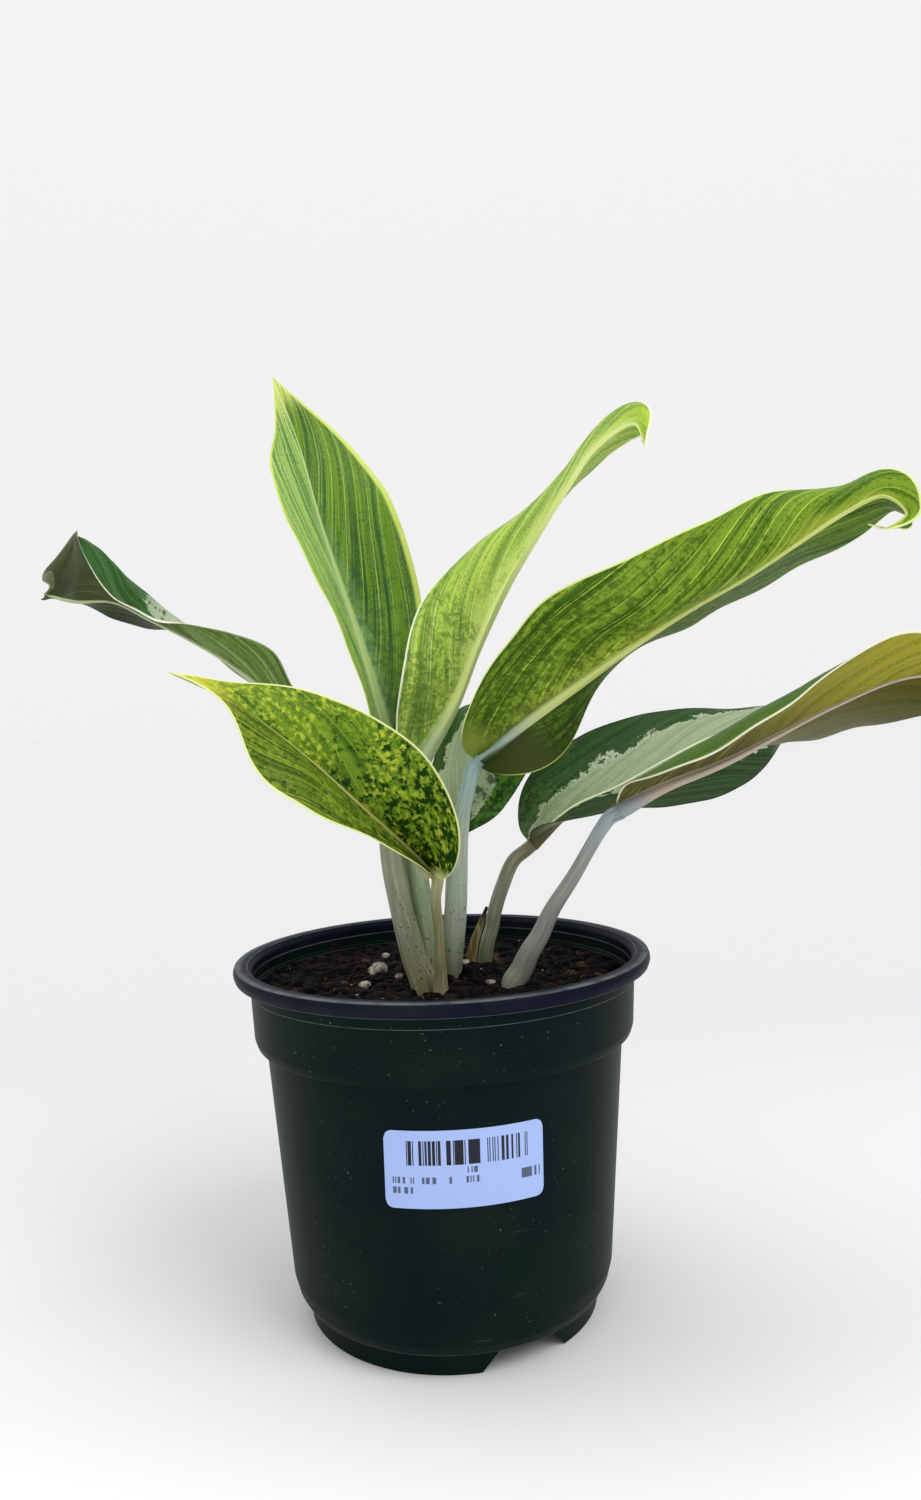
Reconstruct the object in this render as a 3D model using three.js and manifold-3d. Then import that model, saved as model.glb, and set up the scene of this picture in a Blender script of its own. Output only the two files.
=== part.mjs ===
// A young aroid foliage plant in a black plastic nursery pot.
// Millimetres, +Z up, the origin on the floor under the middle of the pot, -Y the side with the label.
import * as THREE from 'three';
import { mergeVertices } from 'three/addons/utils/BufferGeometryUtils.js';
import Module from 'manifold-3d';

// Pot
const POT_HEIGHT = 140;
const RIM_RADIUS = 83;
const BEAD = 5.4;
const COLLAR_TOP_RADIUS = 77;
const COLLAR_FOOT_RADIUS = 75.5;
const COLLAR_FOOT = 112;
const BODY_TOP = 107.5;
const BODY_TOP_RADIUS = 71;
const BODY_FOOT = 18;
const BODY_FOOT_RADIUS = 64;
const POT_WALL = 1.6;
const POT_FACETS = 48;
const FOOT_HEIGHT = 8.5;
const FOOT_RADIUS = 58.5;
const FOOT_WALL = 3.2;
const FOOT_DRAFT = 1;
const BASE_EDGE = [60.5, 9.1];
const HIP = [62.8, 13];
const STEP_SETBACK = 1;
const STEP_RISE = 1.4;
const LIP = 0.4;
const INNER_FLOOR_RADIUS = 59;
const INNER_HEEL = [61, 11.6];
const INNER_LIP = 3;
const BEAD_FACETS = 5;
const NOTCHES = 3;
const FIRST_NOTCH = 26.5;
const NOTCH_FOOT_WIDTH = 36;
const NOTCH_TOP_WIDTH = 23;
const DRAIN_HOLES = 6;
const DRAIN_RADIUS = 5;
const DRAIN_RING = 44;
const DRAIN_FACETS = 16;
const CUTTER_DEPTH = 20;

// Label on the front of the body
const LABEL_WIDTH = 57;
const LABEL_HEIGHT = 28;
const LABEL_CORNER = 3;
const LABEL_MIDDLE = 79;
const LABEL_TURN = 4.5;
const LABEL_THICKNESS = 0.4;
const LABEL_COLUMNS = 20;
const LABEL_ROWS = 2;

// Soil and what stands in it
const SOIL_TOP = 129.5;
const SOIL_RINGS = 6;
// Each swell of the soil: its height, how fast it runs in x and in y (radians a millimetre), its start.
const SWELLS = [
  { height: 0.36, x: 0.19, y: 0.23, start: 0.6 },
  { height: 0.36, x: 0.19, y: -0.23, start: 1.4 },
  { height: 0.43, x: 0.41, y: -0.33, start: 0 },
];
const CLEARANCE = 0.3;
const ROOT_DEPTH = 14;
// Lumps of perlite, each an uneven ball. Its three radii and its rise above the soil are parts of its size.
const LUMP_RADII = [1.15, 0.85, 0.7];
const LUMP_RISE = 0.15;
const LUMPS = [
  { at: [-27, 15], size: 4.6 },
  { at: [-31, -9], size: 2.3 },
  { at: [-25, 41], size: 1.8 },
  { at: [-18, 4], size: 1.8 },
  { at: [9.5, 6], size: 1.8 },
  { at: [18.5, -17], size: 1.8 },
  { at: [-8, 44], size: 2.6 },
  { at: [18, -50], size: 2.8 },
  { at: [-30, -48], size: 2.2 },
];

// Leaves
const BLADE_THICKNESS = 0.9;
const BLADE_STRIPS = 4;
const BLADE_ROWS = 17;
const STALK_SIDES = 8;
const STALK_NECK = 3;
const NECK_DROP = 0.4;
const RIB_DEPTH = 1.5;
const LEAST_HALF = 1.25;
const RIB_TAPER = 0.87;
const RIB_TAPER_POWER = 0.7;
const SECTION_PIECES = 6;

// Each leaf: the compass heading of its blade in degrees, its midrib from base to tip in millimetres,
// and along the blade, evenly spaced, the roll about the midrib, the rise of each half from it (fold)
// and the further bend of each half out to its edge (curl), all in degrees, left half first.
// The half width in millimetres follows t^p (1-t)^q, where shape is [p, q].
const LEAVES = [
  {
    heading: 110,
    midrib: [[-17, 2, 211], [-23, 9, 240], [-30, 17, 268], [-38, 25, 295], [-46, 32, 323],
      [-53, 35, 352], [-62, 30, 380]],
    roll: [-15, -15, -15, -15, -25, -50],
    fold: [[35, 40, 35, 30, 20, 20], [35, 40, 40, 40, 20, 0]],
    curl: [[10, 10, 10, 5, 0, 0], [15, 15, 15, 15, 0, -15]],
    half: [[33, 33], [33, 33]],
    shape: [0.8, 0.7],
    stalk: [[-7, -19], [-11, -16, 142], [-15, -13, 159], [-18, -9, 176], [-19, -6, 190], [-19, -3, 201]],
    radius: [3.9, 4.3, 4.4, 3.1],
  },
  {
    heading: -40,
    midrib: [[-7, -3, 214], [8, -9, 238], [18, -16, 260], [29, -25, 281], [40, -33, 298],
      [51, -42, 314], [61, -50, 327], [73, -59, 333], [76, -67, 323]],
    roll: [5, 0, 25, 45, 50, 40],
    fold: [[50, 50, 60, 70, 50, 10], [40, 30, 60, 80, 65, 10]],
    curl: [[20, 15, 15, 10, -5, -35], [20, 45, 65, 60, 70, 80]],
    half: [[26, 26], [28, 29]],
    shape: [0.45, 0.95],
    bend: [[0, 1], [0.5, 1]],
    stalk: [[-4, -9], [-5.5, -8, 141], [-7, -7, 158], [-9, -5, 176], [-9.5, -4, 190], [-9, -4, 202]],
    radius: [3.8, 4.2, 4.2, 3],
  },
  {
    heading: -25,
    midrib: [[18, -8, 216], [36, -18, 231], [57, -28, 246], [76, -38, 259], [94, -48, 270],
      [111, -57, 279], [127, -66, 289], [140, -74, 297], [150, -82, 301], [155, -89, 294],
      [148, -90, 289], [143, -87, 291]],
    roll: [90, 45, 10, 15, 50, 20, 15],
    fold: [[-35, 35, 10, 10, 25, 20, -30], [-10, 25, -15, -5, 45, 15, -40]],
    curl: [[-20, 10, -5, -5, 5, 5, -15], [-120, -60, 100, 120, 80, 30, 0]],
    half: [[22, 31, 30], [40, 35, 13]],
    shape: [0.4, 1.3],
    rows: 27,
    stalk: [[3, 0], [4, -2, 140], [5.5, -3, 151], [7, -4, 167], [8, -5, 181], [9.5, -5, 191],
      [11, -6, 199], [13, -6.5, 206]],
    radius: [3.4, 4, 4.3, 4, 3, 3],
  },
  {
    heading: 190,
    midrib: [[-2.4, -30, 176], [-11, -34, 185.5], [-27.5, -38, 202], [-43, -43, 218], [-58, -49, 232],
      [-73, -55, 244], [-90, -62, 253]],
    roll: [95, 85, 70, 65, 60, 35, 25],
    fold: [[60, 65, 55, 60, 60, 55, 80], [75, 50, 35, 20, 10, 5, 15]],
    curl: [[45, 25, 0, -40, -70, -65, -75], [25, 10, 5, 0, -5, -5, 0]],
    half: [[5, 18, 30, 41, 46, 44, 46], [26, 31, 33, 36, 36]],
    shape: [0.35, 1.15],
    stalk: [[-1, -26], [-0.8, -27, 142], [-1, -28, 155], [-1.6, -28.5, 166]],
    radius: [2.9, 2.2, 2, 2, 2.6],
  },
  {
    heading: 175,
    midrib: [[-37, 14, 218], [-53, 17, 233], [-69, 19, 248], [-85, 22, 261], [-101, 24, 271],
      [-116, 24, 279], [-131, 22, 287], [-145, 17, 287], [-153, 12, 289], [-155, 8, 288]],
    roll: [-25, -20, -15, -15, -10, -5, -5, -10, -10, -20, -45, -35, -45],
    fold: [[40, 40, 30, 40, 25, 25, 40, 50, 45, 90, 130, 65, 10],
      [5, 0, 0, 0, -5, 0, 5, -10, -15, 25, 40, 0, -70]],
    curl: [[5, 5, 0, 30, 45, 0, -95, -165, -195, -145, -55, 145, 85],
      [0, 0, -5, -5, -5, -5, 0, -10, -15, 0, 10, -10, -35]],
    half: [[29, 32, 17, 24, 55, 10], [28, 21, 11, 14, 10, 10]],
    shape: [1.2, 0.81],
    bend: [[0.35, 0.85], [0, 1]],
    strips: 7,
    rows: 30,
    stalk: [[-8, 4], [-11, 6, 160], [-17, 9, 182], [-27, 11, 205]],
    radius: [4, 3.6, 2.6],
  },
  {
    heading: -30,
    midrib: [[69, -22, 195.5], [86, -32, 205], [104, -44, 213], [121, -56, 223], [138, -68, 233],
      [156, -81, 241], [173, -95, 241]],
    roll: [30, 30, 35, 40, 45, 60, 100],
    fold: [[40, 35, 40, 30, 25, 20, 30], [35, 30, 35, 25, 20, 15, 55]],
    curl: [[35, 25, 20, 5, 5, 5, 15], [-40, -90, -125, -115, -100, -60, 5]],
    half: [[35, 35], [32, 32]],
    shape: [0.8, 0.8],
    stalk: [[27, -18], [30, -18, 134], [34, -19, 142], [38, -19, 148], [43, -20, 158], [52, -20, 171],
      [58, -21, 181], [63.2, -21, 189]],
    radius: [4.1, 4.2, 3.5, 2.9, 2.6, 3],
  },
  {
    heading: 20,
    midrib: [[39.5, 25, 179], [58, 28, 193], [79, 33, 201], [100, 37, 211], [121, 42, 220],
      [143, 47, 226], [165, 52, 230]],
    roll: [5, -10, -15, -20, -30, -40, -60],
    fold: [[15, 10, 5, -10, -10, -15, -15], [25, 10, 5, -5, -10, -20, -30]],
    curl: [[10, 40, 60, 65, 20, -10, -35], [15, 5, 0, -10, -20, -35, -55]],
    half: [[32, 32], [32, 33]],
    shape: [0.35, 0.6],
    stalk: [[18, 21], [19.5, 21, 138], [21.5, 22, 144], [23, 22, 151], [27, 23, 162], [32, 23.5, 172]],
    radius: [2.7, 2.9, 3, 3, 2.8],
  },
  {
    heading: 50,
    midrib: [[7, 24, 182], [12, 30, 198], [18, 37, 213], [26, 46, 226], [35, 55, 239],
      [44, 63, 252], [53, 72, 263]],
    roll: [-10, -35, -25, -25, 0, 20, 30],
    fold: [[15, 10, 5, 15, 10, 0, 0], [20, -5, -5, 5, 10, 10, 15]],
    curl: [[-5, -10, -15, -10, -15, -20, -25], [5, -15, -20, -15, -10, -5, 0]],
    half: [[20, 20], [22, 22]],
    shape: [0.6, 0.75],
    stalk: [[3, 12], [4.5, 15, 157]],
    radius: [3, 2.6, 2.2],
  },
];

// The dry stub of an old leaf sheath beside the seventh stalk
const OLD_SHEATH = {
  path: [[12, 17], [13, 17, 136], [15.5, 16.5, 144], [19.5, 16, 154]],
  radius: [2.4, 2, 0.6],
};

const COLOURS = {
  pot: [0x14201d, 0.5],
  label: [0xa9bdf0, 0.45],
  soil: [0x1f1a17, 1],
  perlite: [0x9aa0a6, 0.9],
  stalk: [0xa9b8a2, 0.5],
  blade: [0x5f8a34, 0.4],
  darkBlade: [0x35503a, 0.4],
  husk: [0x6b5a3c, 0.9],
};

const wasm = await Module();
wasm.setup();

const plant = new THREE.Group();

function addMesh(name, geometry, kind) {
  const [color, roughness] = COLOURS[kind];
  const mesh = new THREE.Mesh(geometry, new THREE.MeshStandardMaterial({ color, roughness, metalness: 0 }));
  mesh.name = name;
  plant.add(mesh);
  return mesh;
}

// Solids

function toManifold(geometry) {
  const bare = geometry.clone();
  bare.deleteAttribute('normal');
  bare.deleteAttribute('uv');
  const merged = mergeVertices(bare, 1e-4);
  return new wasm.Manifold(new wasm.Mesh({
    numProp: 3,
    vertProperties: new Float32Array(merged.attributes.position.array),
    triVerts: new Uint32Array(merged.index.array),
  }));
}

function fromManifold(solid) {
  const mesh = solid.getMesh();
  return meshGeometry(Array.from(mesh.vertProperties), Array.from(mesh.triVerts));
}

function meshGeometry(positions, triangles) {
  const geometry = new THREE.BufferGeometry();
  geometry.setAttribute('position', new THREE.Float32BufferAttribute(positions, 3));
  geometry.setIndex(triangles);
  geometry.computeVertexNormals();
  return geometry;
}

// A closed slab between two grids of points of the same size, its edges walled.
function slab(top, bottom) {
  const rows = top.length;
  const columns = top[0].length;
  const positions = [];
  for (const grid of [top, bottom]) {
    for (const row of grid) {
      for (const point of row) {
        positions.push(point.x, point.y, point.z);
      }
    }
  }
  const under = rows * columns;
  const at = (row, column) => row * columns + column;
  const triangles = [];
  const quad = (a, b, c, d) => triangles.push(a, b, c, a, c, d);
  for (let row = 0; row < rows - 1; row += 1) {
    for (let column = 0; column < columns - 1; column += 1) {
      const corners = [at(row, column), at(row, column + 1), at(row + 1, column + 1), at(row + 1, column)];
      quad(...corners);
      const [a, b, c, d] = corners.map((corner) => corner + under);
      triangles.push(a, c, b, a, d, c);
    }
  }
  const wall = (a, b) => quad(a, a + under, b + under, b);
  for (let row = 0; row < rows - 1; row += 1) {
    wall(at(row + 1, 0), at(row, 0));
    wall(at(row, columns - 1), at(row + 1, columns - 1));
  }
  for (let column = 0; column < columns - 1; column += 1) {
    wall(at(0, column), at(0, column + 1));
    wall(at(rows - 1, column + 1), at(rows - 1, column));
  }
  return meshGeometry(positions, triangles);
}

// A closed round bar along a curve, its radius running through the given values.
function bar(points, radii, steps, sides, grow = 0) {
  const curve = new THREE.CatmullRomCurve3(points, false, 'centripetal');
  const frames = curve.computeFrenetFrames(steps, false);
  const positions = [];
  const triangles = [];
  for (let step = 0; step <= steps; step += 1) {
    const along = step / steps;
    const middle = curve.getPointAt(along);
    const radius = glide(radii, along) + grow;
    for (let side = 0; side < sides; side += 1) {
      const angle = (2 * Math.PI * side) / sides;
      const point = middle.clone();
      point.addScaledVector(frames.normals[step], radius * Math.cos(angle));
      point.addScaledVector(frames.binormals[step], radius * Math.sin(angle));
      positions.push(point.x, point.y, point.z);
    }
  }
  for (let step = 0; step < steps; step += 1) {
    for (let side = 0; side < sides; side += 1) {
      const next = (side + 1) % sides;
      const a = step * sides + side;
      const b = step * sides + next;
      triangles.push(a, b, b + sides, a, b + sides, a + sides);
    }
  }
  for (let side = 1; side < sides - 1; side += 1) {
    const last = steps * sides;
    triangles.push(0, side + 1, side, last, last + side, last + side + 1);
  }
  return meshGeometry(positions, triangles);
}

// Leaves

// Catmull-Rom through evenly spaced values, at t from 0 to 1.
function glide(values, t) {
  const last = values.length - 1;
  const place = Math.min(Math.max(t, 0), 1) * last;
  const index = Math.min(Math.floor(place), last - 1);
  const u = place - index;
  const b = values[index];
  const c = values[index + 1];
  const a = index > 0 ? values[index - 1] : 2 * b - c;
  const d = index + 2 <= last ? values[index + 2] : 2 * c - b;
  return b + 0.5 * u * (c - a + u * (2 * a - 5 * b + 4 * c - d + u * (3 * (b - c) + d - a)));
}

function midribPoint(leaf, t) {
  const axis = (k) => glide(leaf.midrib.map((point) => point[k]), t);
  return new THREE.Vector3(axis(0), axis(1), axis(2));
}

function midribDirection(leaf, t) {
  const ahead = midribPoint(leaf, Math.min(t + 0.01, 1));
  return ahead.sub(midribPoint(leaf, Math.max(t - 0.01, 0))).normalize();
}

// The directions to the right of the midrib and out of the upper face.
function leafFrame(leaf, t) {
  const heading = THREE.MathUtils.degToRad(leaf.heading);
  const along = midribDirection(leaf, t);
  const right = new THREE.Vector3(Math.sin(heading), -Math.cos(heading), 0);
  right.addScaledVector(along, -right.dot(along)).normalize();
  const roll = THREE.MathUtils.degToRad(glide(leaf.roll, t));
  right.applyAxisAngle(along, -roll);
  const upper = new THREE.Vector3().crossVectors(right, along);
  return { right, upper };
}

function halfWidth(leaf, side, t) {
  const [p, q] = leaf.shape;
  const peak = p / (p + q);
  const outline = (Math.pow(t, p) * Math.pow(1 - t, q)) / (Math.pow(peak, p) * Math.pow(1 - peak, q));
  return glide(leaf.half[side], t) * outline;
}

// The midrib starts as thick as the stalk's end and thins to the tip.
function ribRadius(leaf, t) {
  return leaf.radius[leaf.radius.length - 1] * (1 - RIB_TAPER * Math.pow(t, RIB_TAPER_POWER));
}

// One half's section from the midrib outwards: the point and the face direction at each distance.
function halfSection(leaf, side, t, distances, width) {
  const { right, upper } = leafFrame(leaf, t);
  const out = right.multiplyScalar(side === 0 ? -1 : 1);
  const fold = THREE.MathUtils.degToRad(glide(leaf.fold[side], t));
  const curl = THREE.MathUtils.degToRad(glide(leaf.curl[side], t));
  const [from, to] = leaf.bend ? leaf.bend[side] : [0, 1];
  const turn = (s) => {
    const u = THREE.MathUtils.clamp((s - from) / (to - from), 0, 1);
    return fold + curl * (from > 0 ? u * u * (3 - 2 * u) : u);
  };
  const point = midribPoint(leaf, t);
  const result = [];
  let reached = 0;
  for (const distance of distances) {
    const length = (distance - reached) / SECTION_PIECES;
    for (let piece = 0; piece < SECTION_PIECES; piece += 1) {
      const angle = turn((reached + (piece + 0.5) * length) / width);
      point.addScaledVector(out, Math.cos(angle) * length);
      point.addScaledVector(upper, Math.sin(angle) * length);
    }
    reached = distance;
    const angle = turn(distance / width);
    const face = upper.clone().multiplyScalar(Math.cos(angle)).addScaledVector(out, -Math.sin(angle));
    result.push({ point: point.clone(), face });
  }
  return result;
}

function blade(leaf) {
  const rows = leaf.rows ?? BLADE_ROWS;
  const strips = leaf.strips ?? BLADE_STRIPS;
  const top = [];
  const bottom = [];
  for (let row = 0; row <= rows; row += 1) {
    const t = row / rows;
    const rib = ribRadius(leaf, t);
    const halves = [0, 1].map((side) => {
      const width = Math.max(halfWidth(leaf, side, t), LEAST_HALF * rib);
      const distances = [rib];
      for (let strip = 1; strip <= strips; strip += 1) {
        distances.push(rib + ((width - rib) * strip) / strips);
      }
      return halfSection(leaf, side, t, distances, width);
    });
    const { upper } = leafFrame(leaf, t);
    const spine = { point: midribPoint(leaf, t), face: upper, rib: RIB_DEPTH * rib };
    const section = [...halves[0].reverse(), spine, ...halves[1]];
    const skin = BLADE_THICKNESS / 2;
    top.push(section.map(({ point, face }) => point.clone().addScaledVector(face, skin)));
    bottom.push(section.map(({ point, face, rib: depth = 0 }) => point.clone()
      .addScaledVector(face, -skin - depth)));
  }
  return slab(top, bottom);
}

function stalkPoints(leaf) {
  const [foot, ...rest] = leaf.stalk;
  const points = [new THREE.Vector3(foot[0], foot[1], SOIL_TOP - ROOT_DEPTH)];
  points.push(new THREE.Vector3(foot[0], foot[1], SOIL_TOP));
  for (const [x, y, z] of rest) {
    points.push(new THREE.Vector3(x, y, z));
  }
  const along = midribDirection(leaf, 0);
  const base = midribPoint(leaf, 0);
  base.addScaledVector(leafFrame(leaf, 0).upper, -NECK_DROP * ribRadius(leaf, 0));
  points.push(base.clone().addScaledVector(along, -STALK_NECK));
  points.push(base.addScaledVector(along, -CLEARANCE));
  return points;
}

// Soil

function soilHeight(x, y) {
  let height = SOIL_TOP;
  for (const swell of SWELLS) {
    height += swell.height * Math.sin(swell.x * x + swell.y * y + swell.start);
  }
  return height;
}

// The pot's inner face from the floor up, as radius and height.
const INNER_FACE = [
  [INNER_FLOOR_RADIUS, FOOT_HEIGHT + POT_WALL],
  INNER_HEEL,
  [BODY_FOOT_RADIUS - POT_WALL, BODY_FOOT],
  [BODY_TOP_RADIUS - POT_WALL, BODY_TOP - STEP_SETBACK],
  [COLLAR_FOOT_RADIUS - POT_WALL, COLLAR_FOOT],
  [COLLAR_TOP_RADIUS - POT_WALL, POT_HEIGHT - INNER_LIP],
];

function soilBlock() {
  const floor = INNER_FACE[0][1] + CLEARANCE;
  const below = INNER_FACE.slice(1, 5);
  const [collarFoot, collarTop] = INNER_FACE.slice(4);
  const rise = (SOIL_TOP - collarFoot[1]) / (collarTop[1] - collarFoot[1]);
  below.push([THREE.MathUtils.lerp(collarFoot[0], collarTop[0], rise), SOIL_TOP]);
  const sideProfile = [[INNER_FACE[0][0] - CLEARANCE, floor]];
  for (const [r, z] of below) {
    sideProfile.push([r - CLEARANCE, z + (z < SOIL_TOP ? CLEARANCE : 0)]);
  }
  const profile = [new THREE.Vector2(0, floor), ...sideProfile.map(([r, z]) => new THREE.Vector2(r, z))];
  const edge = sideProfile[sideProfile.length - 1][0];
  for (let ring = SOIL_RINGS - 1; ring >= 0; ring -= 1) {
    profile.push(new THREE.Vector2((edge * ring) / SOIL_RINGS, SOIL_TOP));
  }
  const geometry = new THREE.LatheGeometry(profile, POT_FACETS);
  geometry.rotateX(Math.PI / 2);
  const position = geometry.attributes.position;
  for (let index = 0; index < position.count; index += 1) {
    if (position.getZ(index) > SOIL_TOP - 0.01) {
      position.setZ(index, soilHeight(position.getX(index), position.getY(index)));
    }
  }
  return toManifold(geometry);
}

function lump(item, grow = 0) {
  const [x, y] = item.at;
  const geometry = new THREE.IcosahedronGeometry(1, 1);
  geometry.scale(...LUMP_RADII.map((part) => item.size * part + grow));
  geometry.rotateZ(x);
  geometry.translate(x, y, soilHeight(x, y) + item.size * LUMP_RISE);
  return geometry;
}

// Pot

function potProfile() {
  const bead = BEAD / 2;
  const beadMiddle = RIM_RADIUS - bead;
  const footInside = FOOT_RADIUS - FOOT_WALL;
  const points = [[0, FOOT_HEIGHT], [footInside, FOOT_HEIGHT], [footInside, 0]];
  points.push([FOOT_RADIUS - FOOT_DRAFT, 0], [FOOT_RADIUS, FOOT_HEIGHT], BASE_EDGE, HIP);
  points.push([BODY_FOOT_RADIUS, BODY_FOOT], [BODY_TOP_RADIUS, BODY_TOP]);
  points.push([COLLAR_FOOT_RADIUS - STEP_SETBACK, BODY_TOP + STEP_RISE], [COLLAR_FOOT_RADIUS, COLLAR_FOOT]);
  points.push([COLLAR_TOP_RADIUS, POT_HEIGHT - BEAD - LIP], [beadMiddle, POT_HEIGHT - BEAD]);
  for (let step = 1; step <= BEAD_FACETS; step += 1) {
    const angle = -Math.PI / 2 + (Math.PI * step) / BEAD_FACETS;
    points.push([beadMiddle + bead * Math.cos(angle), POT_HEIGHT - bead + bead * Math.sin(angle)]);
  }
  points.push([COLLAR_TOP_RADIUS - LIP, POT_HEIGHT - LIP]);
  points.push(...[...INNER_FACE].reverse(), [0, FOOT_HEIGHT + POT_WALL]);
  return points.map(([r, z]) => new THREE.Vector2(r, z));
}

// A notch in the foot ring is wider at the floor than at its top.
function notchCutter() {
  const outline = new THREE.Shape([
    new THREE.Vector2(-NOTCH_FOOT_WIDTH / 2, -LIP),
    new THREE.Vector2(NOTCH_FOOT_WIDTH / 2, -LIP),
    new THREE.Vector2(NOTCH_TOP_WIDTH / 2, FOOT_HEIGHT - LIP),
    new THREE.Vector2(-NOTCH_TOP_WIDTH / 2, FOOT_HEIGHT - LIP),
  ]);
  const cutter = new THREE.ExtrudeGeometry(outline, { depth: CUTTER_DEPTH, bevelEnabled: false });
  cutter.rotateX(Math.PI / 2);
  cutter.translate(0, CUTTER_DEPTH / 2 - FOOT_RADIUS, 0);
  return cutter;
}

function pot() {
  const geometry = new THREE.LatheGeometry(potProfile(), POT_FACETS);
  geometry.rotateX(Math.PI / 2);
  let solid = toManifold(geometry);
  for (let notch = 0; notch < NOTCHES; notch += 1) {
    const cutter = notchCutter();
    cutter.rotateZ(THREE.MathUtils.degToRad(FIRST_NOTCH + (360 / NOTCHES) * notch));
    solid = solid.subtract(toManifold(cutter));
  }
  for (let hole = 0; hole < DRAIN_HOLES; hole += 1) {
    const cutter = new THREE.CylinderGeometry(DRAIN_RADIUS, DRAIN_RADIUS, 3 * POT_WALL, DRAIN_FACETS);
    cutter.rotateX(Math.PI / 2);
    cutter.translate(0, -DRAIN_RING, FOOT_HEIGHT + POT_WALL / 2);
    cutter.rotateZ(THREE.MathUtils.degToRad(FIRST_NOTCH + (360 / DRAIN_HOLES) * hole));
    solid = solid.subtract(toManifold(cutter));
  }
  return fromManifold(solid);
}

function label() {
  const front = [];
  const back = [];
  const slope = (BODY_TOP_RADIUS - BODY_FOOT_RADIUS) / (BODY_TOP - BODY_FOOT);
  for (let column = 0; column <= LABEL_COLUMNS; column += 1) {
    const across = LABEL_WIDTH * (column / LABEL_COLUMNS - 0.5);
    const inCorner = Math.max(Math.abs(across) - (LABEL_WIDTH / 2 - LABEL_CORNER), 0);
    const cut = LABEL_CORNER - Math.sqrt(Math.max(LABEL_CORNER ** 2 - inCorner ** 2, 0));
    const reach = LABEL_HEIGHT / 2 - cut;
    const frontRow = [];
    const backRow = [];
    for (let row = 0; row <= LABEL_ROWS; row += 1) {
      const z = LABEL_MIDDLE + reach * (1 - (2 * row) / LABEL_ROWS);
      const radius = BODY_FOOT_RADIUS + slope * (z - BODY_FOOT) + CLEARANCE;
      const angle = across / radius + THREE.MathUtils.degToRad(LABEL_TURN) - Math.PI / 2;
      const reachOut = (r) => new THREE.Vector3(r * Math.cos(angle), r * Math.sin(angle), z);
      frontRow.push(reachOut(radius + LABEL_THICKNESS));
      backRow.push(reachOut(radius));
    }
    front.push(frontRow);
    back.push(backRow);
  }
  return slab(front, back);
}

// Assembly

addMesh('pot', pot(), 'pot');
addMesh('label', label(), 'label');

let ground = soilBlock();

LEAVES.forEach((leaf, index) => {
  const points = stalkPoints(leaf);
  const steps = 2 * leaf.stalk.length + 6;
  addMesh(`stalk_${index + 1}`, bar(points, leaf.radius, steps, STALK_SIDES), 'stalk');
  ground = ground.subtract(toManifold(bar(points, leaf.radius, steps, STALK_SIDES, CLEARANCE)));
  addMesh(`blade_${index + 1}`, blade(leaf), index > 3 ? 'darkBlade' : 'blade');
});

const [huskFoot, ...huskRest] = OLD_SHEATH.path;
const huskPoints = [new THREE.Vector3(huskFoot[0], huskFoot[1], SOIL_TOP - ROOT_DEPTH / 2)];
for (const [x, y, z] of huskRest) {
  huskPoints.push(new THREE.Vector3(x, y, z));
}
addMesh('old_sheath', bar(huskPoints, OLD_SHEATH.radius, 8, STALK_SIDES), 'husk');
ground = ground.subtract(toManifold(bar(huskPoints, OLD_SHEATH.radius, 8, STALK_SIDES, CLEARANCE)));

LUMPS.forEach((item, index) => {
  addMesh(`perlite_${index + 1}`, mergeVertices(lump(item)), 'perlite');
  ground = ground.subtract(toManifold(lump(item, 1.5 * CLEARANCE)));
});

addMesh('soil', fromManifold(ground), 'soil');

export default plant;
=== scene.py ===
# A young variegated aroid foliage plant in its nursery pot.
# Shapes are worked out in millimetres and become metres where a mesh is made.
import math

import bpy
import numpy as np
from mathutils import Matrix, Vector


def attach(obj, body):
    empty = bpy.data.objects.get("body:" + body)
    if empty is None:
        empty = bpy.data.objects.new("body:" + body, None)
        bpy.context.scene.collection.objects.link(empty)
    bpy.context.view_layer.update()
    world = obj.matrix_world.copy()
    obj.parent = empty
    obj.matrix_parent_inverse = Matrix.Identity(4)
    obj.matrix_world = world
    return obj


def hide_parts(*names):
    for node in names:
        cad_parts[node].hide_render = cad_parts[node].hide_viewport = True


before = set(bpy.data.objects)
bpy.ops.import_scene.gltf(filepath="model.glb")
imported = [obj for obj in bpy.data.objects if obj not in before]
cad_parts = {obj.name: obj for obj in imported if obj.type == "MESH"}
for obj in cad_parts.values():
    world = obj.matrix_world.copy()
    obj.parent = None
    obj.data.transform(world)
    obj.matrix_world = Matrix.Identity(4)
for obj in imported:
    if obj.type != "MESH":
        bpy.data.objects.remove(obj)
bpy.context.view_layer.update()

# Floor, daylight and camera
# A pale floor without an edge, painted lighter in front of the pot as a pool of light and darker beside it
# as its shade, fading further back to a tone that meets the backdrop, under an even bright sky with a soft
# low sun from the front right.
# The camera is a phone held close, a little above the leaves, looking slightly down and tilted to one side.
MM = 0.001
FLOOR_REACH = 60.0
FLOOR_FRONT_LIT = (1.0, 0.99, 0.98, 1)
FLOOR_BESIDE_SHADED = (0.81, 0.805, 0.798, 1)
FLOOR_FAR = (0.7, 0.695, 0.685, 1)
SKY_COLOUR = (0.96, 0.98, 1.0, 1)
SKY_LOW = 0.62
SKY_TOP = 1.0
BACKDROP_LOW = 0.875
BACKDROP_HIGH = 0.9
# Name, strength, spread in degrees and the direction of the light.
SUNS = [("sun_front_right", 1.1, 35, (-0.5, 0.45, -0.8)),
        ("sun_back_left", 0.5, 60, (0.6, -0.35, -0.7))]
CAMERA_PLACE = (0, -0.4414, 0.2343)
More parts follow.
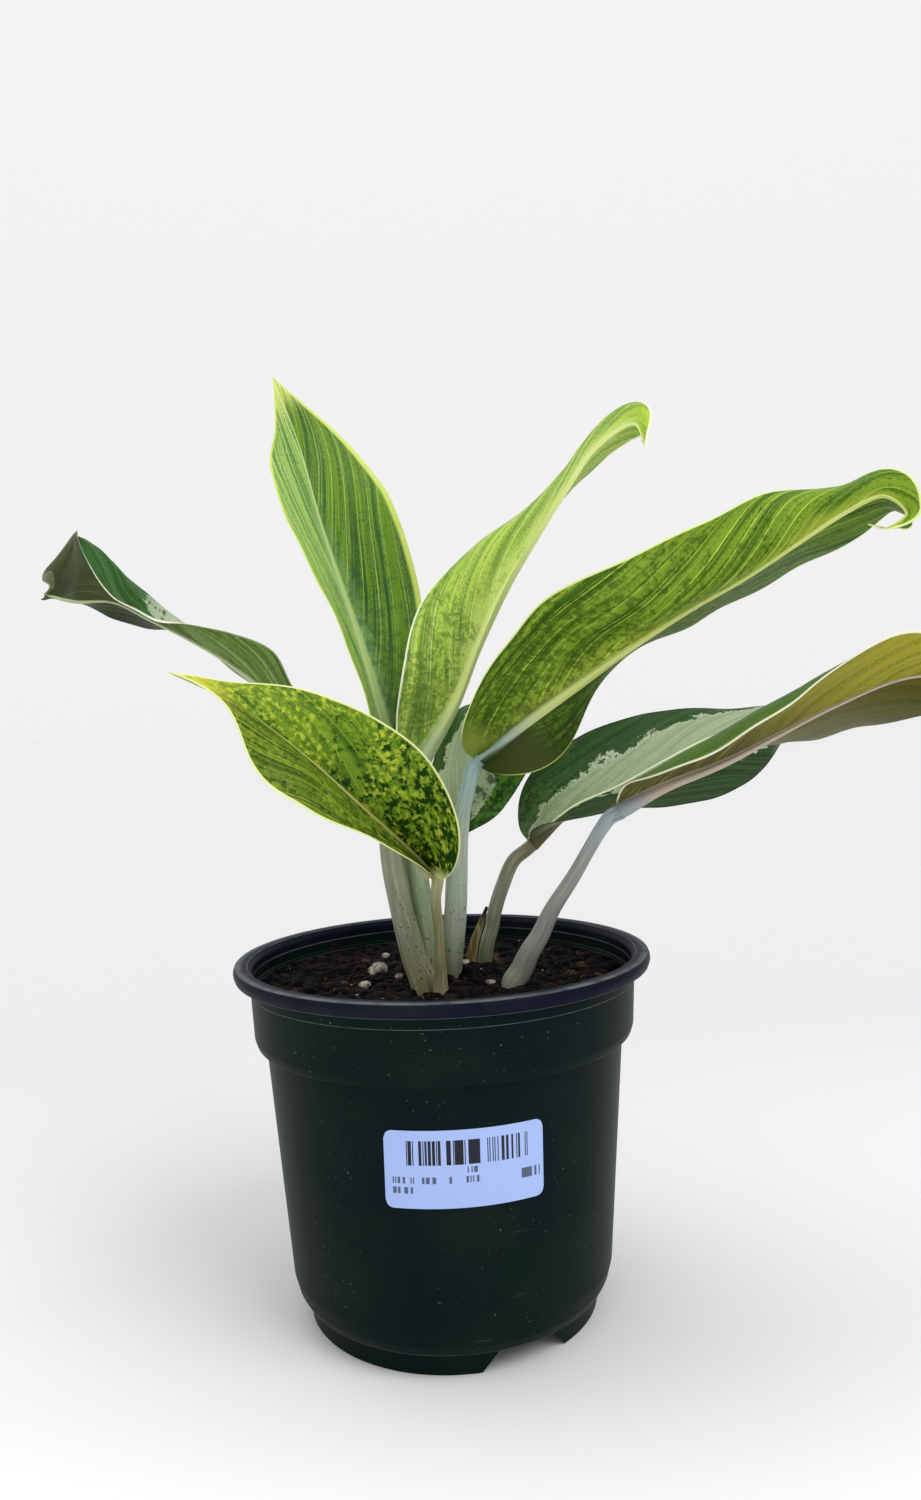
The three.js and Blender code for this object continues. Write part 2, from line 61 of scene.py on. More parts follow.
# How far the camera is turned down, to the right and about its own axis, in radians.
CAMERA_DOWN = 0.0313
CAMERA_RIGHTWARD = 0.0239
CAMERA_TILT = -0.0378
CAMERA_LENS = 26.4


def math_step(operation):
    """A method that adds one math node, on a signal and any further signals or numbers."""
    return lambda *values: calculate(operation, *values)


class Signal:
    """An output of a shader node. Arithmetic on signals and numbers adds the math nodes for it."""

    def __init__(self, socket):
        self.socket = socket
        self.tree = socket.id_data

    __add__ = __radd__ = math_step("ADD")
    __sub__ = math_step("SUBTRACT")
    __mul__ = __rmul__ = math_step("MULTIPLY")
    __truediv__ = math_step("DIVIDE")
    __pow__ = math_step("POWER")
    __abs__ = math_step("ABSOLUTE")
    __gt__ = math_step("GREATER_THAN")
    __lt__ = math_step("LESS_THAN")

    def __rsub__(self, number):
        return calculate("SUBTRACT", number, self)


class Node:
    """A shader node, with node[key] for its outputs. values sets inputs by name or number, from signals or
    plain values, with a hex code for a colour. The tree is that of the signals, unless it is given."""

    def __init__(self, kind, values=None, tree=None, **settings):
        values = values or {}
        tree = tree or next(value.tree for value in values.values() if isinstance(value, Signal))
        self.made = tree.nodes.new(kind)
        for key, value in settings.items():
            setattr(self.made, key, value)
        for key, value in values.items():
            socket = self.made.inputs[key]
            if isinstance(value, Signal):
                tree.links.new(value.socket, socket)
            else:
                by_code = socket.type == "RGBA" and isinstance(value, int)
                socket.default_value = paint(value) if by_code else value

    def __getitem__(self, key):
        return Signal(self.made.outputs[key])


def calculate(operation, *values):
    return Node("ShaderNodeMath", dict(enumerate(values)), operation=operation)[0]


def rise(value, low, high, kind="SMOOTHSTEP"):
    """0 up to low, 1 from high on, and smooth between them. With high under low it falls."""
    return Node("ShaderNodeMapRange", {"Value": value, "From Min": low, "From Max": high},
                interpolation_type=kind)["Result"]


def mix(share, first, second):
    """The colour at a share of the way between two."""
    return Node("ShaderNodeMix", {0: share, 6: first, 7: second}, data_type="RGBA")[2]


def clouds(place, scale, detail=3.0, roughness=0.5):
    """A noise value around 0.5."""
    return Node("ShaderNodeTexNoise", {"Vector": place, "Scale": scale, "Detail": detail,
                                       "Roughness": roughness})["Fac"]


def join(x, y, z):
    return Node("ShaderNodeCombineXYZ", {0: x, 1: y, 2: z})[0]


def split(place):
    parts = Node("ShaderNodeSeparateXYZ", {0: place})
    return parts[0], parts[1], parts[2]


def stretch(place, scale):
    """A place multiplied axis by axis."""
    return Node("ShaderNodeVectorMath", {0: place, 1: scale}, operation="MULTIPLY")[0]


def object_place(tree):
    return Node("ShaderNodeTexCoord", tree=tree)["Object"]


def paint(code):
    """A hex colour as it looks on a screen, as the linear colour that a shader takes."""
    parts = [((code >> shift) & 255) / 255 for shift in (16, 8, 0)]
    return tuple(p / 12.92 if p <= 0.04045 else ((p + 0.055) / 1.055) ** 2.4 for p in parts) + (1.0,)


def new_material(name):
    material = bpy.data.materials.new(name)
    material.use_nodes = True
    material.node_tree.nodes.clear()
    return material, material.node_tree


def finish_material(colour, roughness, specular, **more):
    """The material's shader. more sets further sockets, with _ for a space."""
    more = {key.replace("_", " "): value for key, value in more.items()}
    shader = Node("ShaderNodeBsdfPrincipled", {"Base Color": colour, "Roughness": roughness,
                                               "Specular IOR Level": specular, **more})
    Node("ShaderNodeOutputMaterial", {"Surface": shader[0]})


def bumpy(height, strength, depth):
    return Node("ShaderNodeBump", {"Height": height, "Strength": strength, "Distance": depth})[0]


floor_material, tree = new_material("pale_floor")
_, behind, _ = split(object_place(tree))
# Painted light on the floor: a pool of light in front of the pot and painted shade beside it.
paper = mix(rise(behind, -0.2, -0.02), FLOOR_FRONT_LIT, FLOOR_BESIDE_SHADED)
finish_material(mix(rise(behind, 0.0, 0.4), paper, FLOOR_FAR), 0.9, 0.0)
bpy.ops.mesh.primitive_plane_add(size=FLOOR_REACH, location=(0, 0, 0))
floor = bpy.context.object
floor.name = "floor"
floor.data.materials.append(floor_material)

world = bpy.data.worlds.new("daylight")
bpy.context.scene.world = world
world.use_nodes = True
sky = world.node_tree
sky.nodes.clear()
_, _, height = split(Node("ShaderNodeTexCoord", tree=sky)["Generated"])
brightness = rise(height, 0.0, 1.0, "LINEAR") * (SKY_TOP - SKY_LOW) + SKY_LOW
daylight = Node("ShaderNodeBackground", {"Color": SKY_COLOUR, "Strength": brightness})[0]
wall = rise(height, 0.0, 0.5, "LINEAR") * (BACKDROP_HIGH - BACKDROP_LOW) + BACKDROP_LOW
backdrop = Node("ShaderNodeBackground", {"Color": (1, 1, 1, 1), "Strength": wall})[0]
seen = Node("ShaderNodeLightPath", tree=sky)["Is Camera Ray"]
either = Node("ShaderNodeMixShader", {0: seen, 1: daylight, 2: backdrop})[0]
Node("ShaderNodeOutputWorld", {"Surface": either})

for name, strength, spread, towards in SUNS:
    lamp = bpy.data.lights.new(name, "SUN")
    lamp.energy = strength
    lamp.angle = math.radians(spread)
    sun = bpy.data.objects.new(name, lamp)
    sun.rotation_mode = "QUATERNION"
    sun.rotation_quaternion = Vector(towards).to_track_quat("-Z", "Y")
    bpy.context.scene.collection.objects.link(sun)

lens = bpy.data.cameras.new("camera")
lens.lens = CAMERA_LENS
camera = bpy.data.objects.new("camera", lens)
stance = Matrix.Translation(CAMERA_PLACE)
for turn, axis in ((-CAMERA_RIGHTWARD, "Z"), (math.pi / 2 - CAMERA_DOWN, "X"), (CAMERA_TILT, "Z")):
    stance = stance @ Matrix.Rotation(turn, 4, axis)
camera.matrix_world = stance
bpy.context.scene.collection.objects.link(camera)
bpy.context.scene.camera = camera
bpy.context.scene.view_settings.view_transform = "Standard"

# Nursery pot
# One thin injection-moulded shell of dark green-black polypropylene: a rolled rim, a wide collar, a tapering
# body with a rounded heel, and a foot ring cut by three notches. Potting has left dust and scratches on it.
POT_HEIGHT = 140
RIM_RADIUS = 83
BEAD = 5.4
COLLAR_TOP_RADIUS = 77
COLLAR_FOOT_RADIUS = 75.5
COLLAR_FOOT = 112
BODY_TOP = 107.5
BODY_TOP_RADIUS = 71
BODY_FOOT = 18
BODY_FOOT_RADIUS = 64
POT_WALL = 1.6
FOOT_HEIGHT = 8.5
FOOT_RADIUS = 58.5
FOOT_WALL = 3.2
INNER_FLOOR_RADIUS = 59
INNER_LEDGE = 131
COLLAR_LINE = 129.6
COLLAR_STEP = 0.3
NOTCHES = 3
FIRST_NOTCH = 26.5
NOTCH_FOOT_WIDTH = 36
NOTCH_TOP_WIDTH = 23
NOTCH_OUT = 4
NOTCH_IN = 10
NOTCH_CLEAR = 0.4
NOTCH_TOP = FOOT_HEIGHT - NOTCH_CLEAR
DRAIN_HOLES = 6
DRAIN_RADIUS = 5
DRAIN_RING = 44
HOLE_SIDES = 40
SHARP = 40
POT_SEGMENTS = 192
# The section from the underside's middle, out and up the outer face, over the rim and down the inner face:
# radius, height and how far each corner is rounded.
POT_SECTION = [
    (FOOT_RADIUS - FOOT_WALL, FOOT_HEIGHT, 0.8),
    (FOOT_RADIUS - FOOT_WALL, 0, 0.6),
    (FOOT_RADIUS - 1, 0, 0.8),
    (FOOT_RADIUS, FOOT_HEIGHT, 0.3),
    (60.6, FOOT_HEIGHT + 0.5, 0.4),
    (62.6, 12.6, 3),
    (BODY_FOOT_RADIUS, BODY_FOOT, 8),
    (BODY_TOP_RADIUS, BODY_TOP, 0.5),
    (COLLAR_FOOT_RADIUS - 1, BODY_TOP + 1.4, 1.5),
    (COLLAR_FOOT_RADIUS, COLLAR_FOOT, 3),
    (COLLAR_TOP_RADIUS - 0.6, COLLAR_LINE - 0.3, 0.2),
    (COLLAR_TOP_RADIUS - 0.6 + COLLAR_STEP, COLLAR_LINE, 0.2),
    (COLLAR_TOP_RADIUS, POT_HEIGHT - BEAD - 0.4, 0.6),
    (RIM_RADIUS - 0.9, POT_HEIGHT - BEAD, 0.8),
    (RIM_RADIUS, POT_HEIGHT - BEAD / 2, 3),
    (RIM_RADIUS - 0.8, POT_HEIGHT - 0.4, 1),
    (COLLAR_TOP_RADIUS + 0.6, POT_HEIGHT, 1.2),
    (COLLAR_TOP_RADIUS - POT_WALL, POT_HEIGHT - 2.4, 1.6),
    (COLLAR_TOP_RADIUS - POT_WALL - 0.4, INNER_LEDGE, 0.3),
    (COLLAR_TOP_RADIUS - POT_WALL - 1, INNER_LEDGE - 0.5, 0.3),
    (COLLAR_FOOT_RADIUS - POT_WALL - 0.4, COLLAR_FOOT, 2),
    (BODY_TOP_RADIUS - POT_WALL, BODY_TOP - 1, 1),
    (BODY_FOOT_RADIUS - POT_WALL, BODY_FOOT, 4),
    (INNER_FLOOR_RADIUS, FOOT_HEIGHT + POT_WALL, 3),
]


def rounded(corners, pieces=5):
    """A line of (across, up) points through corners of (across, up, radius), each corner an arc."""
    line = []
    for index, (x, y, radius) in enumerate(corners):
        here = Vector((x, y))
        if radius == 0 or index in (0, len(corners) - 1):
            line.append(here)
            continue
        before = Vector(corners[index - 1][:2]) - here
        after = Vector(corners[index + 1][:2]) - here
        half = before.angle(after) / 2
        reach = min(radius / math.tan(half), 0.48 * before.length, 0.48 * after.length)
        start = here + before.normalized() * reach
        end = here + after.normalized() * reach
        for piece in range(pieces + 1):
            u = piece / pieces
            line.append(start * (1 - u) ** 2 + here * 2 * u * (1 - u) + end * u ** 2)
    return line


def turned_faces(rings, sides):
    """Faces of a turned body: between its rings, and from its end rings to the last two vertices."""
    index = np.arange(rings * sides).reshape(rings, sides)
    ahead = np.roll(index, -1, axis=1)
    walls = np.stack([index[:-1], ahead[:-1], ahead[1:], index[1:]], -1).reshape(-1, 4).tolist()
    foot = [(rings * sides, after, step) for step, after in zip(index[0], ahead[0])]
    return walls + foot + [(rings * sides + 1, step, after) for step, after in zip(index[-1], ahead[-1])]


def lathe(line, segments):
    """A closed body turned about the Z axis from a line that starts and ends off it, capped at both ends."""
    angles = np.arange(segments) * 2 * math.pi / segments
    points = [(r * math.cos(a), r * math.sin(a), z) for r, z in line for a in angles]
    return np.array(points + [(0, 0, line[0][1]), (0, 0, line[-1][1])]), turned_faces(len(line), segments)


def make_mesh(name, points, faces, sharp=SHARP, **places):
    """A mesh from millimetres, smooth but at edges over sharp degrees. places are point attributes."""
    mesh = bpy.data.meshes.new(name)
    mesh.from_pydata((np.asarray(points, float) * MM).tolist(), [], [tuple(face) for face in faces])
    mesh.polygons.foreach_set("use_smooth", np.ones(len(mesh.polygons), bool))
    mesh.set_sharp_from_angle(angle=math.radians(sharp))
    for key, values in places.items():
        attribute = mesh.attributes.new(key, "FLOAT_VECTOR", "POINT")
        attribute.data.foreach_set("vector", np.asarray(values, np.float32).ravel())
    return mesh


def make_piece(mesh, material):
    piece = bpy.data.objects.new(mesh.name, mesh)
    piece.data.materials.append(material)
    bpy.context.scene.collection.objects.link(piece)
    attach(piece, "root")
    return piece


def prism(outline, near, far, turn):
    """A closed prism over an outline of (x, z) points from y = near to y = far, then turned about Z."""
    count = len(outline)
    cosine, sine = math.cos(turn), math.sin(turn)
    points = [(x * cosine - y * sine, x * sine + y * cosine, z) for y in (near, far) for x, z in outline]
    faces = [tuple(range(count)), tuple(reversed(range(count, 2 * count)))]
    for index in range(count):
        following = (index + 1) % count
        faces.append((index, index + count, following + count, following))
    return points, faces


notch_outline = [(-NOTCH_FOOT_WIDTH / 2, -NOTCH_CLEAR), (NOTCH_FOOT_WIDTH / 2, -NOTCH_CLEAR),
                 (NOTCH_TOP_WIDTH / 2, NOTCH_TOP), (-NOTCH_TOP_WIDTH / 2, NOTCH_TOP)]
cutters = []
for notch in range(NOTCHES):
    turn = math.radians(FIRST_NOTCH + 360 / NOTCHES * notch)
    cutters.append(prism(notch_outline, -FOOT_RADIUS - NOTCH_OUT, -FOOT_RADIUS + NOTCH_IN, turn))
hole_ends = (FOOT_HEIGHT - 2, FOOT_HEIGHT + POT_WALL + 2)
hole_points, hole_faces = lathe([(DRAIN_RADIUS, z) for z in hole_ends], HOLE_SIDES)
for hole in range(DRAIN_HOLES):
    turn = math.radians(FIRST_NOTCH + 360 / DRAIN_HOLES * hole - 90)
    cutters.append((hole_points + (DRAIN_RING * math.cos(turn), DRAIN_RING * math.sin(turn), 0), hole_faces))
points, faces = [], []
for cutter_points, cutter_faces in cutters:
    faces += [[corner + len(points) for corner in face] for face in cutter_faces]
    points.extend(cutter_points)
tool = bpy.data.objects.new("pot_cutters", make_mesh("pot_cutters", points, faces))
blank = bpy.data.objects.new("pot_blank", make_mesh("pot_blank", *lathe(rounded(POT_SECTION), POT_SEGMENTS)))
for thing in (blank, tool):
    bpy.context.scene.collection.objects.link(thing)
modifier = blank.modifiers.new("cut", "BOOLEAN")
modifier.operation = "DIFFERENCE"
modifier.solver = "EXACT"
modifier.object = tool
pot_mesh = bpy.data.meshes.new_from_object(blank.evaluated_get(bpy.context.evaluated_depsgraph_get()))
pot_mesh.name = "nursery_pot"
pot_mesh.set_sharp_from_angle(angle=math.radians(SHARP))
for thing in (blank, tool):
    bpy.data.objects.remove(thing)


def new_group(name, inputs):
    """A shader node group that gives Colour, Roughness and Height, and the node of its inputs. Each input
    has a default: a tuple for a place, a hex code for a colour and a float for a number."""
    kinds = {tuple: "Vector", int: "Color", float: "Float"}
    group = bpy.data.node_groups.new(name, "ShaderNodeTree")
    for key, value in inputs.items():
        kind = "NodeSocket" + kinds[type(value)]
        socket = group.interface.new_socket(key, in_out="INPUT", socket_type=kind)
        socket.default_value = paint(value) if isinstance(value, int) else value
    for key, kind in (("Colour", "Color"), ("Roughness", "Float"), ("Height", "Float")):
        group.interface.new_socket(key, in_out="OUTPUT", socket_type="NodeSocket" + kind)
    return group, Node("NodeGroupInput", tree=group)


# Dust, grit and fine scratches that lie on moulded plastic and paper, on a surface of any colour.
dust, given = new_group("dust and scratches", {
    "Surface": 0x595959, "Dust": 0xa9a59f, "Film": 0.2, "Specks": 0.3, "Scratches": 0.3, "Roughness": 0.4})
where = object_place(dust)
film = rise(clouds(where, 28, 5), 0.4, 0.75) * given["Film"]
specks = rise(clouds(where, 900, 2), 0.70, 0.76) * rise(clouds(where, 34, 2), 0.45, 0.62) * given["Specks"]
scratches = rise(clouds(stretch(where, (60, 60, 900)), 1, 2), 0.68, 0.74)
scratches = scratches * rise(clouds(where, 22, 2), 0.5, 0.66) * given["Scratches"]
cover = calculate("MAXIMUM", calculate("MAXIMUM", film, specks), scratches)
Node("NodeGroupOutput", {
    "Colour": mix(cover, given["Surface"], given["Dust"]),
    "Roughness": cover * 0.35 + given["Roughness"],
    "Height": specks - scratches * 0.4,
})

pot_material, tree = new_material("dark_green_polypropylene")
where = object_place(tree)
_, _, up = split(where)
green = mix(rise(clouds(where, 14, 4), 0.35, 0.65), 0x061616, 0x081b18)
on_rim = rise(up, (POT_HEIGHT - BEAD - 0.9) * MM, (POT_HEIGHT - BEAD + 0.1) * MM)
plastic = mix(on_rim, green, 0x0b1120)
# Noise that breaks the painted edge highlights into patches.
edge_highlight_breakup = rise(clouds(where, 120, 3), 0.1, 0.6)
# Painted highlights: thin pale lines along the rim, collar and heel edges where the light catches them,
# broken into patches by noise: the height of each, how far the line reaches and how strong it is.
for edge_height, reach, highlight_strength in ((POT_HEIGHT - 0.35, 0.25, 0.3), (POT_HEIGHT - BEAD, 0.3, 0.35),
                                 (COLLAR_LINE, 0.25, 0.22), (FOOT_HEIGHT + 0.5, 0.35, 0.25)):
    painted_highlight_line = rise(abs(up - edge_height * MM), reach * MM, 0.2 * reach * MM)
    plastic = mix(painted_highlight_line * edge_highlight_breakup * highlight_strength, plastic, 0xa9adb0)
skin = Node("ShaderNodeGroup", {
    "Surface": plastic, "Dust": 0x8d857c, "Film": on_rim * 0.03 + 0.01, "Specks": 0.45,
    "Scratches": on_rim * 0.35 + 0.12, "Roughness": 0.42}, node_tree=dust)
finish_material(skin["Colour"], skin["Roughness"], 0.04,
                Normal=bumpy(skin["Height"] + clouds(where, 60, 3) * 0.15, 0.12, 0.0004))

pot = make_piece(pot_mesh, pot_material)
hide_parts("pot")

# Label
# A rectangle of coated bluish-white paper with round corners, stuck on the front of the body and bent round
# it. It is printed with a band of bars and a few rows of short strokes.
LABEL_WIDTH = 57
LABEL_HEIGHT = 28
LABEL_CORNER = 3
LABEL_MIDDLE = 79
LABEL_TURN = 4.5
LABEL_LIFT = 0.12
LABEL_PAPER = 0.25
LABEL_COLUMNS = 96
LABEL_ROWS = 12
# The band of bars and the rows of strokes: left, right, low and high on the paper, and a seed for strokes.
BAR_BAND = (-21.5, 23.0, 1.6, 10.4)
STROKE_ROWS = [(-4.0, 4.2, -1.4, 0.7, 3.0), (-26.5, 5.0, -5.0, -2.6, 8.0), (-26.5, -18.5, -8.6, -6.2, 15.0),
               (13.0, 27.0, -6.2, -2.6, 22.0)]


def slab(front, back):
    """Points and triangles of the closed body between two grids, split alike on both faces."""
    rows, columns = front.shape[:2]
    index = np.arange(rows * columns).reshape(rows, columns)
    a, b = index[:-1, :-1].ravel(), index[:-1, 1:].ravel()
    c, d = index[1:, 1:].ravel(), index[1:, :-1].ravel()
    under = rows * columns
    around = np.concatenate([index[0, :], index[1:, -1], index[-1, -2::-1], index[-2::-1, 0]])
    p, q = around[:-1], around[1:]
    faces = [(a, b, c), (a, c, d), (a + under, c + under, b + under), (a + under, d + under, c + under),
             (p, p + under, q + under), (p, q + under, q)]
    points = np.concatenate([front.reshape(-1, 3), back.reshape(-1, 3)])
    return points, np.concatenate([np.stack(corners, -1) for corners in faces])


def for_both(grid):
    """What the vertices of a slab carry, alike on its front and its back."""
    return np.concatenate([grid.reshape(-1, 3)] * 2)


slope = (BODY_TOP_RADIUS - BODY_FOOT_RADIUS) / (BODY_TOP - BODY_FOOT)
across = LABEL_WIDTH * (np.arange(LABEL_COLUMNS + 1) / LABEL_COLUMNS - 0.5)
in_corner = np.maximum(np.abs(across) - (LABEL_WIDTH / 2 - LABEL_CORNER), 0)
reach = LABEL_HEIGHT / 2 - LABEL_CORNER + np.sqrt(np.maximum(LABEL_CORNER ** 2 - in_corner ** 2, 0))
up = reach[:, None] * (1 - 2 * np.arange(LABEL_ROWS + 1) / LABEL_ROWS)
radius = BODY_FOOT_RADIUS + slope * (LABEL_MIDDLE + up - BODY_FOOT) + LABEL_LIFT
angle = across[:, None] / radius + math.radians(LABEL_TURN) - math.pi / 2
label_faces = [np.stack([r * np.cos(angle), r * np.sin(angle), LABEL_MIDDLE + up], -1)
               for r in (radius + LABEL_PAPER, radius)]
label_flat = np.stack([np.broadcast_to(across[:, None], up.shape), up, np.zeros_like(up)], -1)
label_mesh = make_mesh("bar_label", *slab(*label_faces), 50, label_place=for_both(label_flat))


def vertex_place(tree, name):
    """The place that each vertex carries under a name."""
    return Node("ShaderNodeAttribute", tree=tree, attribute_name=name)["Vector"]


def within(across, up, left, right, low, high):
    """1 inside a rectangle and 0 outside it."""
    return (across > left) * (across < right) * (up > low) * (up < high)


def bars(across, width, share, seed):
    """Ink in a share of the columns of one width, drawn at random."""
    column = join(calculate("FLOOR", across / width), 0.0, seed)
    return Node("ShaderNodeTexWhiteNoise", {"Vector": column})["Value"] < share


label_material, tree = new_material("coated_label_paper")
across, up, _ = split(vertex_place(tree, "label_place"))
ink = calculate("MAXIMUM", bars(across, 0.36, 0.42, 41.0), bars(across, 0.95, 0.24, 5.0))
ink = ink * within(across, up, *BAR_BAND)
for *edges, seed in STROKE_ROWS:
    strokes = bars(across, 0.45, 0.5, seed) * bars(across, 4.6, 0.84, seed + 1) * 0.8
    ink = calculate("MAXIMUM", ink, strokes * within(across, up, *edges))
skin = Node("ShaderNodeGroup", {
    "Surface": mix(ink, 0xa3b9ee, 0x10121f), "Dust": 0x8f9fc4, "Film": 0.12, "Specks": 0.2, "Scratches": 0.1,
    "Roughness": 0.45}, node_tree=dust)
finish_material(skin["Colour"], skin["Roughness"], 0.3,
                Normal=bumpy(clouds(object_place(tree), 700, 3), 0.05, 0.0002))

label = make_piece(label_mesh, label_material)
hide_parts("label")

# Leaves: their bones
# Each leaf is a long waxy blade with a raised midrib on a fleshy stalk that rises from the soil. The
# blades arch out to all sides, roll, fold along the midrib and curl at their margins.
# heading: compass direction in degrees; midrib: base to tip; roll, fold and curl: degrees, evenly spaced
# along the blade, fold and curl for the left and the right half; half: half widths; shape: powers of the
# outline; bend: where across each half the curl acts; stalk: foot and points up to the blade; radius:
# along the stalk.
LEAVES = [
    {"heading": 110,
     "midrib": [(-17, 2, 211), (-23, 9, 240), (-30, 17, 268), (-38, 25, 295), (-46, 32, 323), (-53, 35, 352),
                (-62, 30, 380)],
     "roll": [-15, -15, -15, -15, -25, -50],
     "fold": [[35, 40, 35, 30, 20, 20], [35, 40, 40, 40, 20, 0]],
     "curl": [[10, 10, 10, 5, 0, 0], [15, 15, 15, 15, 0, -15]],
     "half": [[33, 33], [33, 33]],
     "shape": (0.8, 0.7),
     "stalk": [(-7, -19), (-11, -16, 142), (-15, -13, 159), (-18, -9, 176), (-19, -6, 190), (-19, -3, 201)],
     "radius": [3.9, 4.3, 4.4, 3.1]},
    {"heading": -40,
     "midrib": [(-7, -3, 214), (8, -9, 238), (18, -16, 260), (29, -25, 281), (40, -33, 298), (51, -42, 314),
                (61, -50, 327), (73, -59, 333), (76, -67, 323)],
     "roll": [5, 0, 25, 45, 50, 40],
     "fold": [[50, 50, 60, 70, 50, 10], [40, 30, 60, 80, 65, 10]],
     "curl": [[20, 15, 15, 10, -5, -35], [20, 45, 65, 60, 70, 80]],
     "half": [[26, 26], [28, 29]],
     "shape": (0.45, 0.95),
     "bend": [(0, 1), (0.5, 1)],
     "stalk": [(-4, -9), (-5.5, -8, 141), (-7, -7, 158), (-9, -5, 176), (-9.5, -4, 190), (-9, -4, 202)],
     "radius": [3.8, 4.2, 4.2, 3]},
    {"heading": -25,
     "midrib": [(18, -8, 216), (36, -18, 231), (57, -28, 246), (76, -38, 259), (94, -48, 270),
                (111, -57, 279), (127, -66, 289), (140, -74, 297), (150, -82, 301), (155, -89, 294),
                (148, -90, 289), (143, -87, 291)],
     "roll": [90, 45, 10, 15, 50, 20, 15],
     "fold": [[-35, 35, 10, 10, 25, 20, -30], [-10, 25, -15, -5, 45, 15, -40]],
     "curl": [[-20, 10, -5, -5, 5, 5, -15], [-120, -60, 100, 120, 80, 30, 0]],
     "half": [[22, 31, 30], [40, 35, 13]],
     "shape": (0.4, 1.3),
     "stalk": [(3, 0), (4, -2, 140), (5.5, -3, 151), (7, -4, 167), (8, -5, 181), (9.5, -5, 191),
               (11, -6, 199), (13, -6.5, 206)],
     "radius": [3.4, 4, 4.3, 4, 3, 3]},
    {"heading": 190,
     "midrib": [(-2.4, -30, 176), (-11, -34, 185.5), (-27.5, -38, 202), (-43, -43, 218), (-58, -49, 232),
                (-73, -55, 244), (-90, -62, 253)],
     "roll": [95, 85, 70, 65, 60, 35, 25],
     "fold": [[60, 65, 55, 60, 60, 55, 80], [75, 50, 35, 20, 10, 5, 15]],
     "curl": [[45, 25, 0, -40, -70, -65, -75], [25, 10, 5, 0, -5, -5, 0]],
     "half": [[5, 18, 30, 41, 46, 44, 46], [26, 31, 33, 36, 36]],
     "shape": (0.35, 1.15),
     "stalk": [(-1, -26), (-0.8, -27, 142), (-1, -28, 155), (-1.6, -28.5, 166)],
     "radius": [2.9, 2.2, 2, 2, 2.6]},
    {"heading": 175,
     "midrib": [(-37, 14, 218), (-53, 17, 233), (-69, 19, 248), (-85, 22, 261), (-101, 24, 271),
                (-116, 24, 279), (-131, 22, 287), (-145, 17, 287), (-153, 12, 289), (-155, 9, 290)],
     "roll": [-25, -20, -15, -15, -10, -5, -5, -10, -10, -20, -45, -35, -45],
     "fold": [[40, 40, 30, 40, 25, 25, 40, 50, 45, 90, 130, 65, 10],
              [5, 0, 0, 0, -5, 0, 5, -10, -15, 25, 40, 0, -70]],
     "curl": [[5, 5, 0, 30, 45, 0, -95, -165, -195, -145, -55, 145, 85],
              [0, 0, -5, -5, -5, -5, 0, -10, -15, 0, 10, -10, -35]],
     "half": [[29, 32, 17, 24, 55, 10], [28, 21, 11, 14, 10, 10]],
     "shape": (1.2, 0.81),
     "bend": [(0.35, 0.85), (0, 1)],
     "stalk": [(-8, 4), (-11, 6, 160), (-17, 9, 182), (-27, 11, 205)],
     "radius": [4, 3.6, 2.6]},
    {"heading": -30,
     "midrib": [(69, -22, 195.5), (86, -32, 205), (104, -44, 213), (121, -56, 223), (138, -68, 233),
                (156, -81, 241), (173, -95, 241)],
     "roll": [30, 30, 35, 40, 45, 60, 100],
     "fold": [[40, 35, 40, 30, 25, 20, 30], [35, 30, 35, 25, 20, 15, 55]],
     "curl": [[35, 25, 20, 5, 5, 5, 15], [-40, -90, -125, -115, -100, -60, 5]],
     "half": [[35, 35], [32, 32]],
     "shape": (0.8, 0.8),
     "stalk": [(27, -18), (30, -18, 134), (34, -19, 142), (38, -19, 148), (43, -20, 158), (52, -20, 171),
               (58, -21, 181), (63.2, -21, 189)],
     "radius": [4.1, 4.2, 3.5, 2.9, 2.6, 3]},
    {"heading": 20,
     "midrib": [(39.5, 25, 179), (58, 28, 193), (79, 33, 201), (100, 37, 211), (121, 42, 220),
                (143, 47, 226), (165, 52, 230)],
     "roll": [5, -10, -15, -20, -30, -40, -60],
     "fold": [[15, 10, 5, -10, -10, -15, -15], [25, 10, 5, -5, -10, -20, -30]],
     "curl": [[10, 40, 60, 65, 20, -10, -35], [15, 5, 0, -10, -20, -35, -55]],
     "half": [[32, 32], [32, 33]],
     "shape": (0.35, 0.6),
     "stalk": [(18, 21), (19.5, 21, 138), (21.5, 22, 144), (23, 22, 151), (27, 23, 162), (32, 23.5, 172)],
     "radius": [2.7, 2.9, 3, 3, 2.8]},
    {"heading": 50,
     "midrib": [(7, 24, 182), (12, 30, 198), (18, 37, 213), (26, 46, 226), (35, 55, 239), (44, 63, 252),
                (53, 72, 263)],
     "roll": [-10, -35, -25, -25, 0, 20, 30],
     "fold": [[15, 10, 5, 15, 10, 0, 0], [20, -5, -5, 5, 10, 10, 15]],
     "curl": [[-5, -10, -15, -10, -15, -20, -25], [5, -15, -20, -15, -10, -5, 0]],
     "half": [[20, 20], [22, 22]],
     "shape": (0.6, 0.75),
     "stalk": [(3, 12), (4.5, 15, 157)],
     "radius": [3, 2.6, 2.2]},
]
SOIL_TOP = 129.5
STALK_ROOT = 14
STALK_NECK = 3
NECK_DROP = 0.4
JOINT_GAP = 0.15
RIB_TAPER = 0.87
RIB_TAPER_POWER = 0.7
NEAR = 0.01


